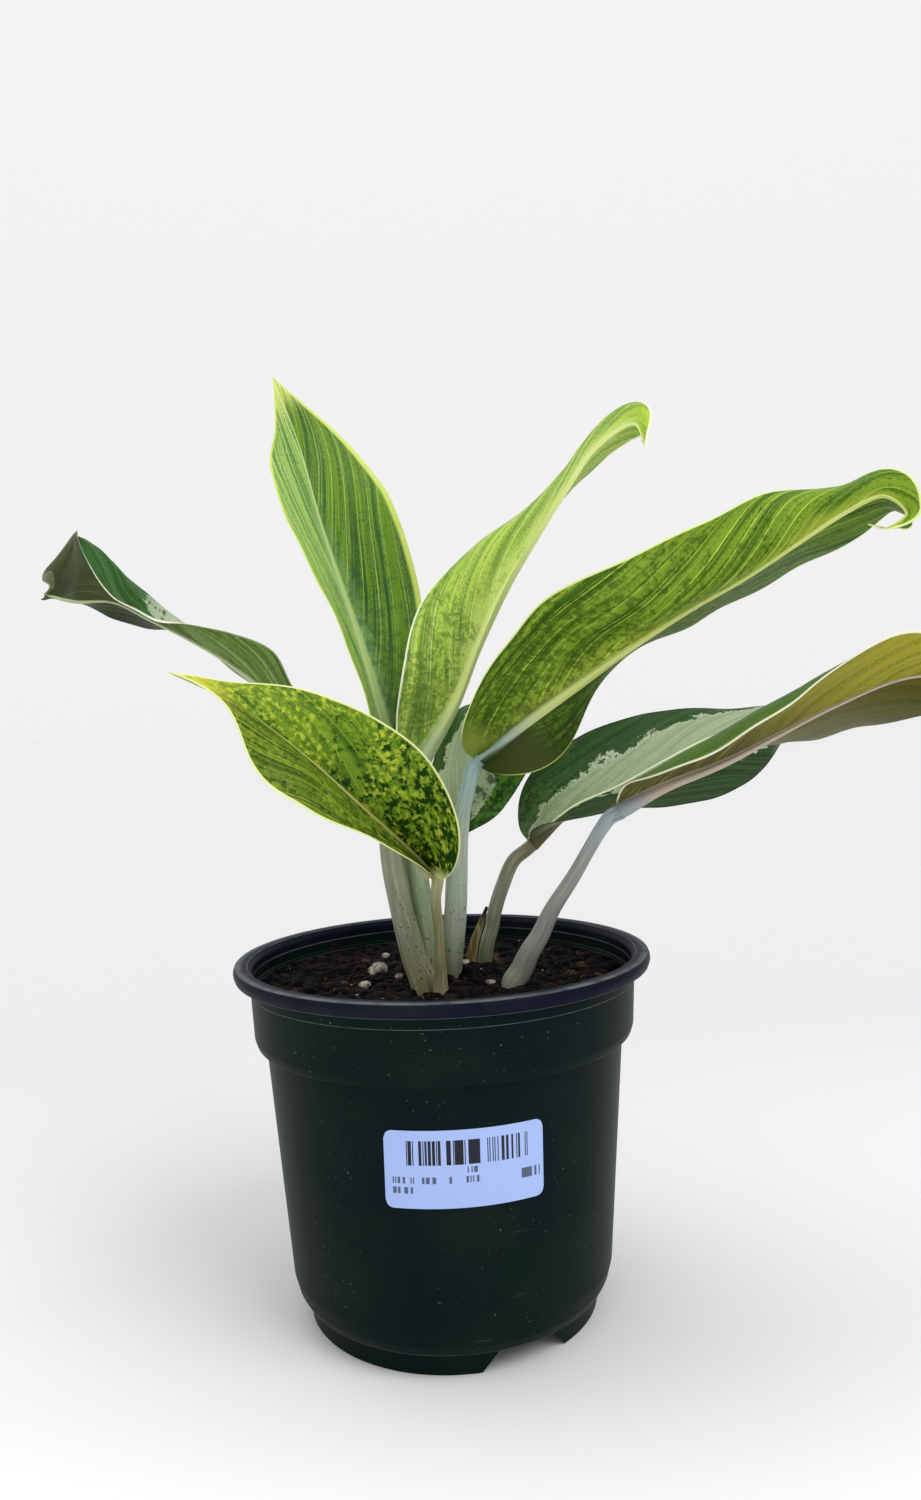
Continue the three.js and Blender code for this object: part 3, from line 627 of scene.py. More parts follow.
def glide(values, t):
    """Catmull-Rom through evenly spaced values or points, at an array of t from 0 to 1."""
    known = np.asarray(values, float)
    known = known[:, None] if known.ndim == 1 else known
    last = len(known) - 1
    place = np.clip(np.atleast_1d(t), 0, 1) * last
    index = np.minimum(place.astype(int), last - 1)
    u = (place - index)[:, None]
    padded = np.vstack([2 * known[0] - known[1], known, 2 * known[-1] - known[-2]])
    a, b, c, d = (padded[index + shift] for shift in range(4))
    found = b + 0.5 * u * (c - a + u * (2 * a - 5 * b + 4 * c - d + u * (3 * (b - c) + d - a)))
    return found[:, 0] if found.shape[1] == 1 else found


def unit(vectors):
    return vectors / np.linalg.norm(vectors, axis=-1, keepdims=True)


def leaf_frame(leaf, t):
    """Midrib points at t, with the directions along it, to its right and out of the upper face."""
    middle = glide(leaf["midrib"], t)
    ahead, behind = np.minimum(t + NEAR, 1), np.maximum(t - NEAR, 0)
    along = unit(glide(leaf["midrib"], ahead) - glide(leaf["midrib"], behind))
    heading = math.radians(leaf["heading"])
    right = np.array([math.sin(heading), -math.cos(heading), 0.0])
    right = unit(right - along * (along @ right)[:, None])
    upper = np.cross(right, along)
    roll = np.radians(glide(leaf["roll"], t))[:, None]
    turned_right = right * np.cos(roll) + upper * np.sin(roll)
    turned_upper = upper * np.cos(roll) - right * np.sin(roll)
    return middle, along, turned_right, turned_upper


def rib_radius(leaf, t):
    return leaf["radius"][-1] * (1 - RIB_TAPER * np.power(t, RIB_TAPER_POWER))


def stalk_line(leaf):
    """The stalk's points from under the soil to the blade's base."""
    middle, along, _, upper = (values[0] for values in leaf_frame(leaf, np.zeros(1)))
    base = middle - upper * NECK_DROP * rib_radius(leaf, 0)
    foot = leaf["stalk"][0]
    points = [(*foot, SOIL_TOP - STALK_ROOT), (*foot, SOIL_TOP), *leaf["stalk"][1:]]
    points += [tuple(base - along * STALK_NECK), tuple(base - along * JOINT_GAP)]
    return np.array(points, float)


# Soil
# Damp peat and bark potting mix, filled to just under the rim. Its top is loose crumbs of all sizes, near
# black with brown and reddish bark and pale grains of grit. It closes round every stalk.
SOIL_SEGMENTS = 610
SOIL_RINGS = 146
SOIL_EDGE = 74.3
SOIL_BED = 1.5
SOIL_SEED = 7
# Gentle swells of the top: height, steps in x and y, and start. The heap is a low pile between the stalks.
SOIL_SWELLS = [(0.36, 0.19, 0.23, 0.6), (0.36, 0.19, -0.23, 1.4), (0.43, 0.41, -0.33, 0.0)]
HEAP_PLACE = (13, 3)
HEAP_REACH = 7
HEAP_HEIGHT = 4.5
CRUMBS = 6800
SMALL_CRUMB = (0.55, 1.1)
LARGE_CRUMB = (1.1, 2.5)
SMALL_SHARE = 0.82
CRUMB_SLENDERNESS = (1, 1.9)
CRUMB_LIFT = (-1.8, -0.7)
CRUMB_HEIGHT = 0.85
STALK_INSET = 0.4
EDGE_WIDTH = 3
EDGE_DROP = 0.6
# The side wall under the top's edge: radius and height.
SOIL_SIDE = [(74.2, 128.0), (73.2, COLLAR_FOOT + 1), (BODY_TOP_RADIUS - POT_WALL - 0.8, BODY_TOP - 2),
             (61.8, BODY_FOOT), (58.4, 12.0)]


def soil_height(x, y):
    swells = sum(height * np.sin(in_x * x + in_y * y + start) for height, in_x, in_y, start in SOIL_SWELLS)
    from_heap = ((x - HEAP_PLACE[0]) ** 2 + (y - HEAP_PLACE[1]) ** 2) / HEAP_REACH ** 2
    return SOIL_TOP + swells + HEAP_HEIGHT * np.exp(-from_heap)


rng = np.random.default_rng(SOIL_SEED)
# Rings lie closest near the edge, though not as close as for even areas.
ring_radius = 0.5 * SOIL_EDGE * np.sqrt(np.linspace(0.00004, 1, SOIL_RINGS))
ring_radius += 0.5 * np.linspace(0.3, SOIL_EDGE, SOIL_RINGS)
turns = np.arange(SOIL_SEGMENTS) * 2 * math.pi / SOIL_SEGMENTS
soil_x = (ring_radius[:, None] * np.cos(turns)).ravel()
soil_y = (ring_radius[:, None] * np.sin(turns)).ravel()
soil_z = soil_height(soil_x, soil_y) - SOIL_BED
crumb_kind = np.zeros((len(soil_x), 3))
for _ in range(CRUMBS):
    radius = rng.uniform(*(SMALL_CRUMB if rng.random() < SMALL_SHARE else LARGE_CRUMB))
    centre = SOIL_EDGE * math.sqrt(rng.random())
    bearing = rng.uniform(0, 2 * math.pi)
    x, y = centre * math.cos(bearing), centre * math.sin(bearing)
    turn = rng.uniform(0, math.pi)
    long = rng.uniform(*CRUMB_SLENDERNESS)
    kind = (rng.random(), rng.random(), radius)
    lift = rng.uniform(*CRUMB_LIFT)
    offset_x, offset_y = soil_x - x, soil_y - y
    near = np.flatnonzero(offset_x ** 2 + offset_y ** 2 < (radius * long) ** 2)
    lengthwise = (offset_x[near] * math.cos(turn) + offset_y[near] * math.sin(turn)) / (radius * long)
    crosswise = (offset_y[near] * math.cos(turn) - offset_x[near] * math.sin(turn)) / radius
    dome = 1 - lengthwise ** 2 - crosswise ** 2
    near, dome = near[dome > 0], dome[dome > 0]
    top = soil_height(x, y) + lift + radius * CRUMB_HEIGHT * np.sqrt(dome)
    higher = top > soil_z[near]
    soil_z[near[higher]] = top[higher]
    crumb_kind[near[higher]] = kind
for leaf in LEAVES:
    foot_x, foot_y = leaf["stalk"][0]
    hollow = np.hypot(soil_x - foot_x, soil_y - foot_y) < leaf["radius"][0] - STALK_INSET
    soil_z[hollow] = SOIL_TOP - STALK_ROOT - 0.5
edge_share = np.repeat(np.clip((ring_radius - SOIL_EDGE) / EDGE_WIDTH + 1, 0, 1), SOIL_SEGMENTS)
soil_z = soil_z * (1 - edge_share) + np.minimum(soil_z, SOIL_TOP - EDGE_DROP) * edge_share
soil_points = [np.stack([soil_x, soil_y, soil_z], -1)]
for radius, z in SOIL_SIDE:
    level = np.full_like(turns, z)
    soil_points.append(np.stack([radius * np.cos(turns), radius * np.sin(turns), level], -1))
soil_points.append(np.array([(0, 0, soil_z[0]), (0, 0, SOIL_SIDE[-1][1])]))
soil_points = np.concatenate(soil_points)
# The rings run outwards over the top and down the side, so each face turns the other way from a lathe's.
soil_faces = [[*face[:1], *face[:0:-1]] for face in turned_faces(SOIL_RINGS + len(SOIL_SIDE), SOIL_SEGMENTS)]
crumb_kind = np.concatenate([crumb_kind, np.zeros((len(soil_points) - len(crumb_kind), 3))])
soil_mesh = make_mesh("potting_soil", soil_points, soil_faces, 80, crumb=crumb_kind)

soil_material, tree = new_material("peat_and_bark")
browner, paler, size = split(vertex_place(tree, "crumb"))
grain = clouds(object_place(tree), 1300, 4, 0.6)
bark = mix(rise(browner, 0.4, 1.0), 0x070606, 0x3b2820)
bark = mix(rise(browner, 0.93, 0.96), bark, 0x6b4a38)
# Near-black flecks where the fine grain's bump is low: painted shade in the gaps between crumbs.
bark = mix(rise(grain, 0.35, 0.7), 0x050404, bark)
bark = mix((paler > 0.965) * (size < 0.85), bark, 0x9a938d)
finish_material(bark, grain * -0.35 + 0.95, 0.08, Normal=bumpy(grain, 0.7, 0.0006))

soil = make_piece(soil_mesh, soil_material)
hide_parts("soil")

# Perlite
# Nine lumps of puffed pale mineral that lie on the soil, rough and pitted, each a different shape and size.
LUMPS = [((-27, 15), 4.6), ((-31, -9), 2.3), ((-25, 41), 1.8), ((-18, 4), 1.8), ((9.5, 6), 1.8),
         ((18.5, -17), 1.8), ((-8, 44), 2.6), ((18, -50), 2.8), ((-30, -48), 2.2)]
LUMP_RADII = (1.15, 0.85, 0.7)
LUMP_RISE = 0.15
LUMP_KNOBS = 14
LUMP_CORE = 0.72
LUMP_SWELL = 0.3
LUMP_GRAIN = 0.07

perlite_material, tree = new_material("puffed_perlite")
where = object_place(tree)
pits = clouds(where, 900, 5, 0.65)
chalk = mix(rise(pits, 0.35, 0.6), 0x6b5f55, 0xcfc4b8)
chalk = mix(rise(clouds(where, 260, 3), 0.52, 0.66), chalk, 0x7d6f62)
finish_material(chalk, pits * 0.3 + 0.6, 0.2, Normal=bumpy(pits, 0.8, 0.0008))

for number, ((x, y), size) in enumerate(LUMPS, 1):
    bpy.ops.mesh.primitive_ico_sphere_add(subdivisions=5, radius=1)
    ball = bpy.context.object
    points = np.array([vertex.co for vertex in ball.data.vertices], float)
    faces = [tuple(face.vertices) for face in ball.data.polygons]
    bpy.data.objects.remove(ball)
    knobs = unit(rng.normal(size=(LUMP_KNOBS, 3)))
    nearest = np.max(points @ knobs.T, axis=1)
    fine = np.sin(points @ rng.normal(size=(3, 6)) * 9).mean(axis=1)
    points *= (LUMP_CORE + LUMP_SWELL * nearest ** 3 + LUMP_GRAIN * fine)[:, None]
    points *= np.array(LUMP_RADII) * size
    # Each lump is turned by its own x in radians, so that no two lie alike.
    spin = np.array([[math.cos(x), math.sin(x), 0], [-math.sin(x), math.cos(x), 0], [0, 0, 1]])
    points = points @ spin + (x, y, soil_height(x, y) + size * LUMP_RISE)
    lump = make_piece(make_mesh(f"perlite_lump_{number}", points, faces, 60), perlite_material)
    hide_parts(f"perlite_{number}")

# Leaf stalks
# Round fleshy stalks, pale grey-green with a waxy bloom, bluish where they bend into the blade, olive and
# straw coloured at the foot. The lower ones widen into sheaths with a thin pale edge that clasp their
# neighbours.
STALK_SIDES = 40
STALK_RINGS = 100
SHEATH_END = 0.5
SHEATH_POWER = 1.3
LEAST_SHEATH = 0.2
# How far the end of a stalk runs on into its blade, so that no seam shows.
NECK_OVERLAP = 1.6
# For each stalk: the colours of its foot, middle and neck, how speckled it is, how much the sheath widens
# it, the side that the sheath's edge runs on in radians, and how far that edge wanders round.
STALK_LOOKS = [
    (0x7f7850, 0x868a70, 0x84946e, 1.0, 0.5, 4.9, 1.3),
    (0x7f7b4e, 0x849672, 0x90a686, 0.9, 0.35, 4.5, -0.9),
    (0x7a7c60, 0xa6b29e, 0x9fbebc, 0.9, 0.35, 4.2, 0.5),
    (0x8c7c60, 0x7d7b50, 0x9c9c6a, 0.2, 0.75, 4.3, -1.2),
    (0x7f7b4e, 0x808b6d, 0x808f6d, 0.3, 0.0, 4.2, 0.5),
    (0x8a887a, 0x8a8b82, 0x939da4, 0.35, 0.12, 5.5, 0.9),
    (0x7b7a60, 0x86886e, 0x7c7556, 0.3, 0.1, 4.0, 0.5),
    (0x7b7a60, 0x808b6d, 0x808f6d, 0.2, 0.0, 4.2, 0.5),
]


def tube(line, radii, rings, sides, widening=0.0):
    """A closed round bar on a smooth curve through the points, wider left to right near its foot, with the
    length, the turn and the share of the length at each vertex."""
    steps = np.linalg.norm(np.diff(line, axis=0), axis=1) ** 0.5
    knots = np.concatenate([[0], np.cumsum(steps)])
    fine = np.linspace(0, knots[-1], 400)
    span = np.clip(np.searchsorted(knots, fine, side="right") - 1, 0, len(line) - 2)
    knots = np.concatenate([[-knots[1]], knots, [2 * knots[-1] - knots[-2]]])
    padded = np.vstack([2 * line[0] - line[1], line, 2 * line[-1] - line[-2]])
    fine = fine[:, None]
    k = [knots[span + shift][:, None] for shift in range(4)]
    p = [padded[span + shift] for shift in range(4)]

    def blend(start, end, first, second):
        return ((k[end] - fine) * first + (fine - k[start]) * second) / (k[end] - k[start])

    a = [blend(i, i + 1, p[i], p[i + 1]) for i in range(3)]
    b = [blend(i, i + 2, a[i], a[i + 1]) for i in range(2)]
    curve = blend(1, 2, *b)
    length = np.concatenate([[0], np.cumsum(np.linalg.norm(np.diff(curve, axis=0), axis=1))])
    share = np.linspace(0, 1, rings)
    middle = np.stack([np.interp(share * length[-1], length, curve[:, axis]) for axis in range(3)], -1)
    along = unit(np.gradient(middle, axis=0))
    outward = np.empty_like(middle)
    outward[0] = unit(np.cross(along[0], (0.0, 1.0, 0.0)))
    for ring in range(1, rings):
        outward[ring] = unit(outward[ring - 1] - along[ring] * (outward[ring - 1] @ along[ring]))
    across = np.cross(along, outward)[:, None]
    wide = 1 + widening * np.clip(1 - share / SHEATH_END, 0, 1) ** SHEATH_POWER
    turn = np.arange(sides) * 2 * math.pi / sides
    around = (outward * wide[:, None])[:, None] * np.cos(turn)[:, None] + across * np.sin(turn)[:, None]
    points = middle[:, None] + around * glide(radii, share)[:, None, None]
    place = np.stack(np.broadcast_arrays(share[:, None] * length[-1], turn, share[:, None]), -1)
    caps = [range(sides)[::-1], range((rings - 1) * sides, rings * sides)]
    faces = turned_faces(rings, sides)[:-2 * sides] + caps
    return points.reshape(-1, 3), faces, place.reshape(-1, 3)


# The skin of a stalk: three colours along it, faint lengthwise streaks, the pale edge of the sheath with a
# shadow beside it, and black specks near the foot.
stalk_skin, given = new_group("stalk skin", {
    "Place": (0, 0, 0), "Foot": 0x959559, "Middle": 0xaaaa95, "Neck": 0xaabcaa, "Specks": 0.5, "Edge": 4.0,
    "Edge Wander": 0.0, "Sheath": 0.0, "Seed": 0.0})
length, turn, share = split(given["Place"])
where = object_place(stalk_skin)
streaks = clouds(join(calculate("COSINE", turn) * 1.6, calculate("SINE", turn) * 1.6,
                      length * 0.03 + given["Seed"]), 2.2, 3)
body = mix(rise(share, 0.08, 0.42), given["Foot"], given["Middle"])
body = mix(rise(share, 0.66, 0.97), body, given["Neck"])
lighter = mix(0.18, body, 0xdfe6d2)
darker = mix(0.2, body, 0x4c5a34)
body = mix(rise(streaks, 0.5, 0.7), body, lighter)
body = mix(rise(streaks, 0.5, 0.32), body, darker)
beyond = turn - (share * given["Edge Wander"] + given["Edge"])
low_half = rise(share, 0.66, 0.56) * given["Sheath"]
body = mix((beyond > 0.0) * rise(beyond, 0.5, 0.0) * low_half * 0.6, body, 0x39422a)
rim = rise(abs(beyond), 0.13, 0.05) * low_half
body = mix(rim, body, 0xb9b878)
dots = rise(clouds(stretch(where, (1, 1, 0.75)), 1100, 1), 0.63, 0.67)
crowd = rise(clouds(where, 130, 2), 0.46, 0.6) * rise(share, 0.12, 0.2) * rise(share, 0.6, 0.35)
Node("NodeGroupOutput", {
    "Colour": mix(dots * crowd * given["Specks"], body, 0x1c1f12),
    "Roughness": streaks * 0.2 + 0.32,
    "Height": rim * 0.8 + streaks * 0.4,
})

for number, (leaf, looks) in enumerate(zip(LEAVES, STALK_LOOKS), 1):
    foot, half_way, neck, specks, widening, edge, wander = looks
    material, tree = new_material(f"stalk_skin_{number}")
    skin = Node("ShaderNodeGroup", {
        "Place": vertex_place(tree, "stalk_place"), "Foot": foot, "Middle": half_way, "Neck": neck,
        "Specks": specks, "Edge": edge, "Edge Wander": wander,
        "Sheath": float(widening > LEAST_SHEATH), "Seed": float(number)}, node_tree=stalk_skin)
    finish_material(skin["Colour"], skin["Roughness"], 0.4, Normal=bumpy(skin["Height"], 0.2, 0.0005))
    line = stalk_line(leaf)
    line[-1] += unit(line[-1] - line[-2]) * NECK_OVERLAP
    points, faces, place = tube(line, leaf["radius"], STALK_RINGS, STALK_SIDES, widening)
    stalk = make_piece(make_mesh(f"leaf_stalk_{number}", points, faces, 60, stalk_place=place), material)
    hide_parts(f"stalk_{number}")

# Old sheath
# The stub of a sheath whose leaf has withered: a papery tapered strip, straw coloured and brown at the tip,
# that still clasps the stalk beside it.
SHEATH_LINE = [(12, 17, 122.5), (13, 17, 136), (15.5, 16.5, 144), (19.5, 16, 154)]
SHEATH_RADIUS = [2.4, 2, 0.6]

husk_material, tree = new_material("dry_sheath")
_, _, share = split(vertex_place(tree, "stalk_place"))
veins = clouds(stretch(object_place(tree), (1, 1, 0.12)), 900, 3)
straw = mix(rise(veins, 0.35, 0.65), 0x6f6238, 0xa39a6c)
straw = mix(rise(share, 0.72, 0.95), straw, 0x2a1d10)
finish_material(straw, veins * 0.2 + 0.6, 0.2, Normal=bumpy(veins, 0.5, 0.0005))
points, faces, place = tube(np.array(SHEATH_LINE), SHEATH_RADIUS, 40, 24)
husk = make_piece(make_mesh("dry_sheath", points, faces, 60, stalk_place=place), husk_material)
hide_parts("old_sheath")

# Leaf blades
# Thin waxy blades with a midrib that stands out underneath, side veins that sweep towards the tip, and a
# fine pale margin. They are variegated: silver centres with ragged edges, lime streaks along the veins,
# dark blotches.
BLADE_ROWS = 110
BLADE_STRIPS = 15
BLADE_MIDDLE = 0.7
BLADE_MARGIN = 0.35
RIB_COLUMNS = (0.0, 0.3, 0.55, 0.75, 0.9, 1.0)
RIB_SLIMMING = 0.3
LEAST_HALF = 1.25
VEIN_SPACING = 21
VEIN_SWEEP = 1.4
VEIN_LEAN = 2.6
VEIN_CURVE = 0.03
VEIN_DEPTH = 0.25
VEIN_WIDTH = 1.4
VEIN_SHIFT = 0.37
WAVE_LENGTH = 31
WAVE_HEIGHT = 0.35
SETTLE = 12
BEND_PIECES = 4
# Rows crowd at both ends of a blade, and strips at its margin.
ROW_CROWDING = 0.55
STRIP_CROWDING = 1.15
# The midrib's height in its own radii: above the face at the base, below it further on, and underneath.
RIB_CREST = 0.6
RIB_DENT = 0.22
RIB_BELLY = 1.4


def blade_surface(leaf, number):
    """Upper and lower face as grids from left margin to right, with each point's place on the leaf."""
    u = np.linspace(0, 1, BLADE_ROWS + 1)
    t = u - ROW_CROWDING * np.sin(2 * math.pi * u) / (2 * math.pi)
    middle, along, right, upper = leaf_frame(leaf, t)
    steps = np.linalg.norm(np.diff(middle, axis=0), axis=1)
    length = np.concatenate([[0], np.cumsum(steps)])[:, None]
    slimming = RIB_SLIMMING * (np.clip(t / 0.15, 0, 1) + np.clip((t - 0.15) / 0.4, 0, 1))
    rib = (rib_radius(leaf, t) * (1 - slimming))[:, None]
    down = t[:, None]
    p, q = leaf["shape"]
    peak = p / (p + q)
    outline = np.power(t, p) * np.power(1 - t, q) / (peak ** p * (1 - peak) ** q)
    strips = 1 - (1 - np.linspace(0, 1, BLADE_STRIPS + 1)[1:]) ** STRIP_CROWDING
    settle = np.clip(length / SETTLE, 0, 1) * np.clip((length[-1] - length) / SETTLE, 0, 1)
    rising = np.exp(-length / 4)
    halves = []
    for half, side in enumerate((-1, 1)):
        width = np.maximum((glide(leaf["half"][half], t) * outline)[:, None], LEAST_HALF * rib)
        reach = np.concatenate([rib * RIB_COLUMNS, rib + (width - rib) * strips], axis=1)
        fold, curl = (np.radians(glide(leaf[key][half], t))[:, None] for key in ("fold", "curl"))
        begin, end = leaf.get("bend", [(0, 1), (0, 1)])[half]

        def turn(distance):
            share = np.clip((distance / width - begin) / (end - begin), 0, 1)
            return fold + curl * (share * share * (3 - 2 * share) if begin > 0 else share)

        gap = np.diff(reach, axis=1, prepend=0) / BEND_PIECES
        angles = [turn(reach - gap * (piece - 0.5)) for piece in range(BEND_PIECES, 0, -1)]
        across = np.cumsum(sum(np.cos(angle) * gap for angle in angles), axis=1)[..., None]
        lift = np.cumsum(sum(np.sin(angle) * gap for angle in angles), axis=1)[..., None]
        out = (right * side)[:, None]
        angle = turn(reach)[..., None]
        face = upper[:, None] * np.cos(angle) - out * np.sin(angle)
        points = middle[:, None] + out * across + upper[:, None] * lift
        vein = length - (VEIN_SWEEP + VEIN_LEAN * down + VEIN_CURVE * reach) * reach
        share = reach / width
        start = number * 1.7 + half * 2.1
        wave = WAVE_HEIGHT * share ** 2 * settle * np.sin(2 * math.pi * length / WAVE_LENGTH + start)
        from_vein = np.abs((vein / VEIN_SPACING + number * VEIN_SHIFT) % 1 - 0.5) * 2
        groove = VEIN_DEPTH * np.clip((share - 0.08) * 6, 0, 1) * np.clip((1 - share) * 4, 0, 1) * settle
        relief = -groove * np.exp(-((1 - from_vein) * VEIN_SPACING / 2 / VEIN_WIDTH) ** 2)
        points = points + face * (wave + relief)[..., None]
        bulge = rib * np.sqrt(np.clip(1 - (reach / rib) ** 2, 0, 1))
        skin = 0.5 * (BLADE_MARGIN + (BLADE_MIDDLE - BLADE_MARGIN) * np.clip((width - reach) / 6, 0, 1))
        above = skin + bulge * (RIB_CREST * rising - RIB_DENT * (1 - rising))
        below = -skin - RIB_BELLY * bulge
        place = np.stack([width - reach, side * reach, vein], -1)
        position = np.stack([np.broadcast_to(down, reach.shape), side * share, np.zeros_like(reach)], -1)
        halves.append((points + face * above[..., None], points + face * below[..., None], place, position))
    return [np.concatenate([left[:, :0:-1], right_half], axis=1) for left, right_half in zip(*halves)]


# Leaf tissue of one face: a ground in two greens, a silver centre with a ragged edge, pale side veins,
# fine streaks along them, bright speckles, dark blotches, a pale midrib and margin, and the tints of base
# and tip. On some leaves these colours also hold painted shade and painted reflections, as said at the leaf.
# The inputs that each word of BLADE_LOOKS sets, in order, and what they are where it says nothing.
LOOK_WORDS = {
    "tissue": {"Ground": 0x5a7a3c, "Shade": 0x3e5a2a},
    "centre": {"Centre": 0x95aa89, "Centre Width": -1.0, "Centre Spread": 0.0, "Raggedness": 0.2,
               "Softness": 0.012, "Outline": 0.0},
    "streak": {"Streak": 0xaabc7c, "Veins": 0.5, "Streaks": 0.5},
    "speckle": {"Speckle": 0xbccc59, "Speckles": 0.0},
    "mottle": {"Mottle": 0x264626, "Mottling": 0.0, "Mottle End": 2.0},
    "base": {"Base": 0xaabc7c, "Base End": 0.0},
    "rib": {"Rib Foot": 0xbccc9a, "Midrib": 0xccd9aa, "Midrib Width": 1.5},
    "margin": {"Margin": 0xd9e6aa, "Margin Width": 0.7},
    "tip": {"Tip": 0xccd995, "Tip Start": 0.85, "Tip End": 1.0},
}
foliage, given = new_group("variegated leaf face", {
    "Place": (0, 0, 0), "Share": (0, 0, 0), "Vein Shift": 0.0, "Seed": 0.0,
    **{key: value for inputs in LOOK_WORDS.values() for key, value in inputs.items()}})
to_edge, from_rib, vein = split(given["Place"])
down_leaf, outward, _ = split(given["Share"])
own = calculate("SIGN", from_rib) * 31.0 + given["Seed"] * 7.3
from_rib, outward = abs(from_rib), abs(outward)
lengthwise = vein + from_rib * (from_rib * VEIN_CURVE + (down_leaf * VEIN_LEAN + VEIN_SWEEP))


def tissue(first, steps, shift, detail, roughness=0.5):
    """Noise over a distance along the leaf and the distance from the midrib, each taken in its own steps."""
    place = join(first * steps[0], from_rib * steps[1], own + shift)
    return clouds(place, 1, detail, roughness)


fine = tissue(vein, (0.75, 0.09), 0.0, 4, 0.6)
thread = tissue(vein, (1.5, 0.08), 5.0, 3, 0.55)
wide = tissue(vein, (0.11, 0.04), 3.0, 2)
jag = tissue(vein, (0.8, 0.16), 9.0, 5, 0.65)
grain = tissue(lengthwise, (0.5, 0.5), 14.0, 2)
net = tissue(lengthwise, (1.1, 1.1), 17.0, 4, 0.65)
blots = tissue(lengthwise, (0.24, 0.24), 27.0, 5, 0.68)
torn = tissue(lengthwise, (0.13, 0.13), 41.0, 6, 0.72)
patches = tissue(lengthwise, (0.045, 0.06), 21.0, 2)

blend = fine * 0.35 + wide * 0.4 + net * 0.25
leafy = mix(rise(blend, 0.45, 0.56), given["Ground"], given["Shade"])
bright = rise(grain, 0.44, 0.7) * rise(patches, 0.3, 0.55) * rise(net, 0.34, 0.5)
leafy = mix(bright * given["Speckles"], leafy, given["Speckle"])

border = down_leaf * given["Centre Spread"] + given["Centre Width"]
teeth = (jag - 0.5) * 0.35 + (torn - 0.5)
inside = border + teeth * given["Raggedness"] - outward
greener = mix(0.35, given["Centre"], given["Ground"])
silver = mix(rise(blend, 0.42, 0.58), given["Centre"], greener)
leafy = mix(rise(inside / given["Softness"], -1.0, 1.0), leafy, silver)
leafy = mix(rise(abs(inside - 0.012), 0.024, 0.008) * given["Outline"], leafy, given["Streak"])

phase = vein / VEIN_SPACING + given["Vein Shift"]
wandering = (fine - 0.5) * 2.4 + calculate("PINGPONG", phase, 0.5) * VEIN_SPACING
main_vein = rise(wandering, 1.0, 0.1) * rise(thread, 0.3, 0.55)
leafy = mix(main_vein * given["Veins"], leafy, given["Streak"])
streak = rise(thread, 0.5, 0.66) * rise(fine, 0.42, 0.6)
leafy = mix(streak * given["Streaks"], leafy, given["Streak"])

crowding = down_leaf * -0.3 + (blots + 0.07)
dark = rise(crowding, 0.44, 0.54) * rise(grain, 0.62, 0.5)
zone = (patches - 0.5) * 0.8 + (down_leaf - given["Mottle End"])
dark = calculate("MAXIMUM", dark * rise(zone, 0.1, -0.1), rise(net, 0.58, 0.64) * 0.4)
leafy = mix(dark * given["Mottling"], leafy, given["Mottle"])

tipped = rise((fine - 0.5) * 0.12 + down_leaf, given["Tip Start"], given["Tip End"])
darker_tip = mix(0.5, given["Tip"], given["Shade"])
tip_tissue = mix(rise(blend, 0.46, 0.58), given["Tip"], darker_tip)
leafy = mix(tipped * (streak * -0.45 + 1.0), leafy, tip_tissue)
leafy = mix(rise(given["Base End"] - down_leaf, 0.0, 0.05), leafy, given["Base"])
rib_reach = (1.02 - down_leaf) ** 2.0 * given["Midrib Width"] + 0.3
rib = mix(rise(down_leaf, 0.02, 0.16), given["Rib Foot"], given["Midrib"])
leafy = mix(rise(from_rib / rib_reach, 1.3, 0.6), leafy, rib)
on_edge = rise(to_edge / given["Margin Width"], 1.3, 0.6) * rise(down_leaf, 0.01, 0.04)
Node("NodeGroupOutput", {
    "Colour": mix(on_edge, leafy, given["Margin"]),
    "Roughness": grain * 0.2 + 0.3,
    "Height": fine * 0.5 + grain * 0.25,
})

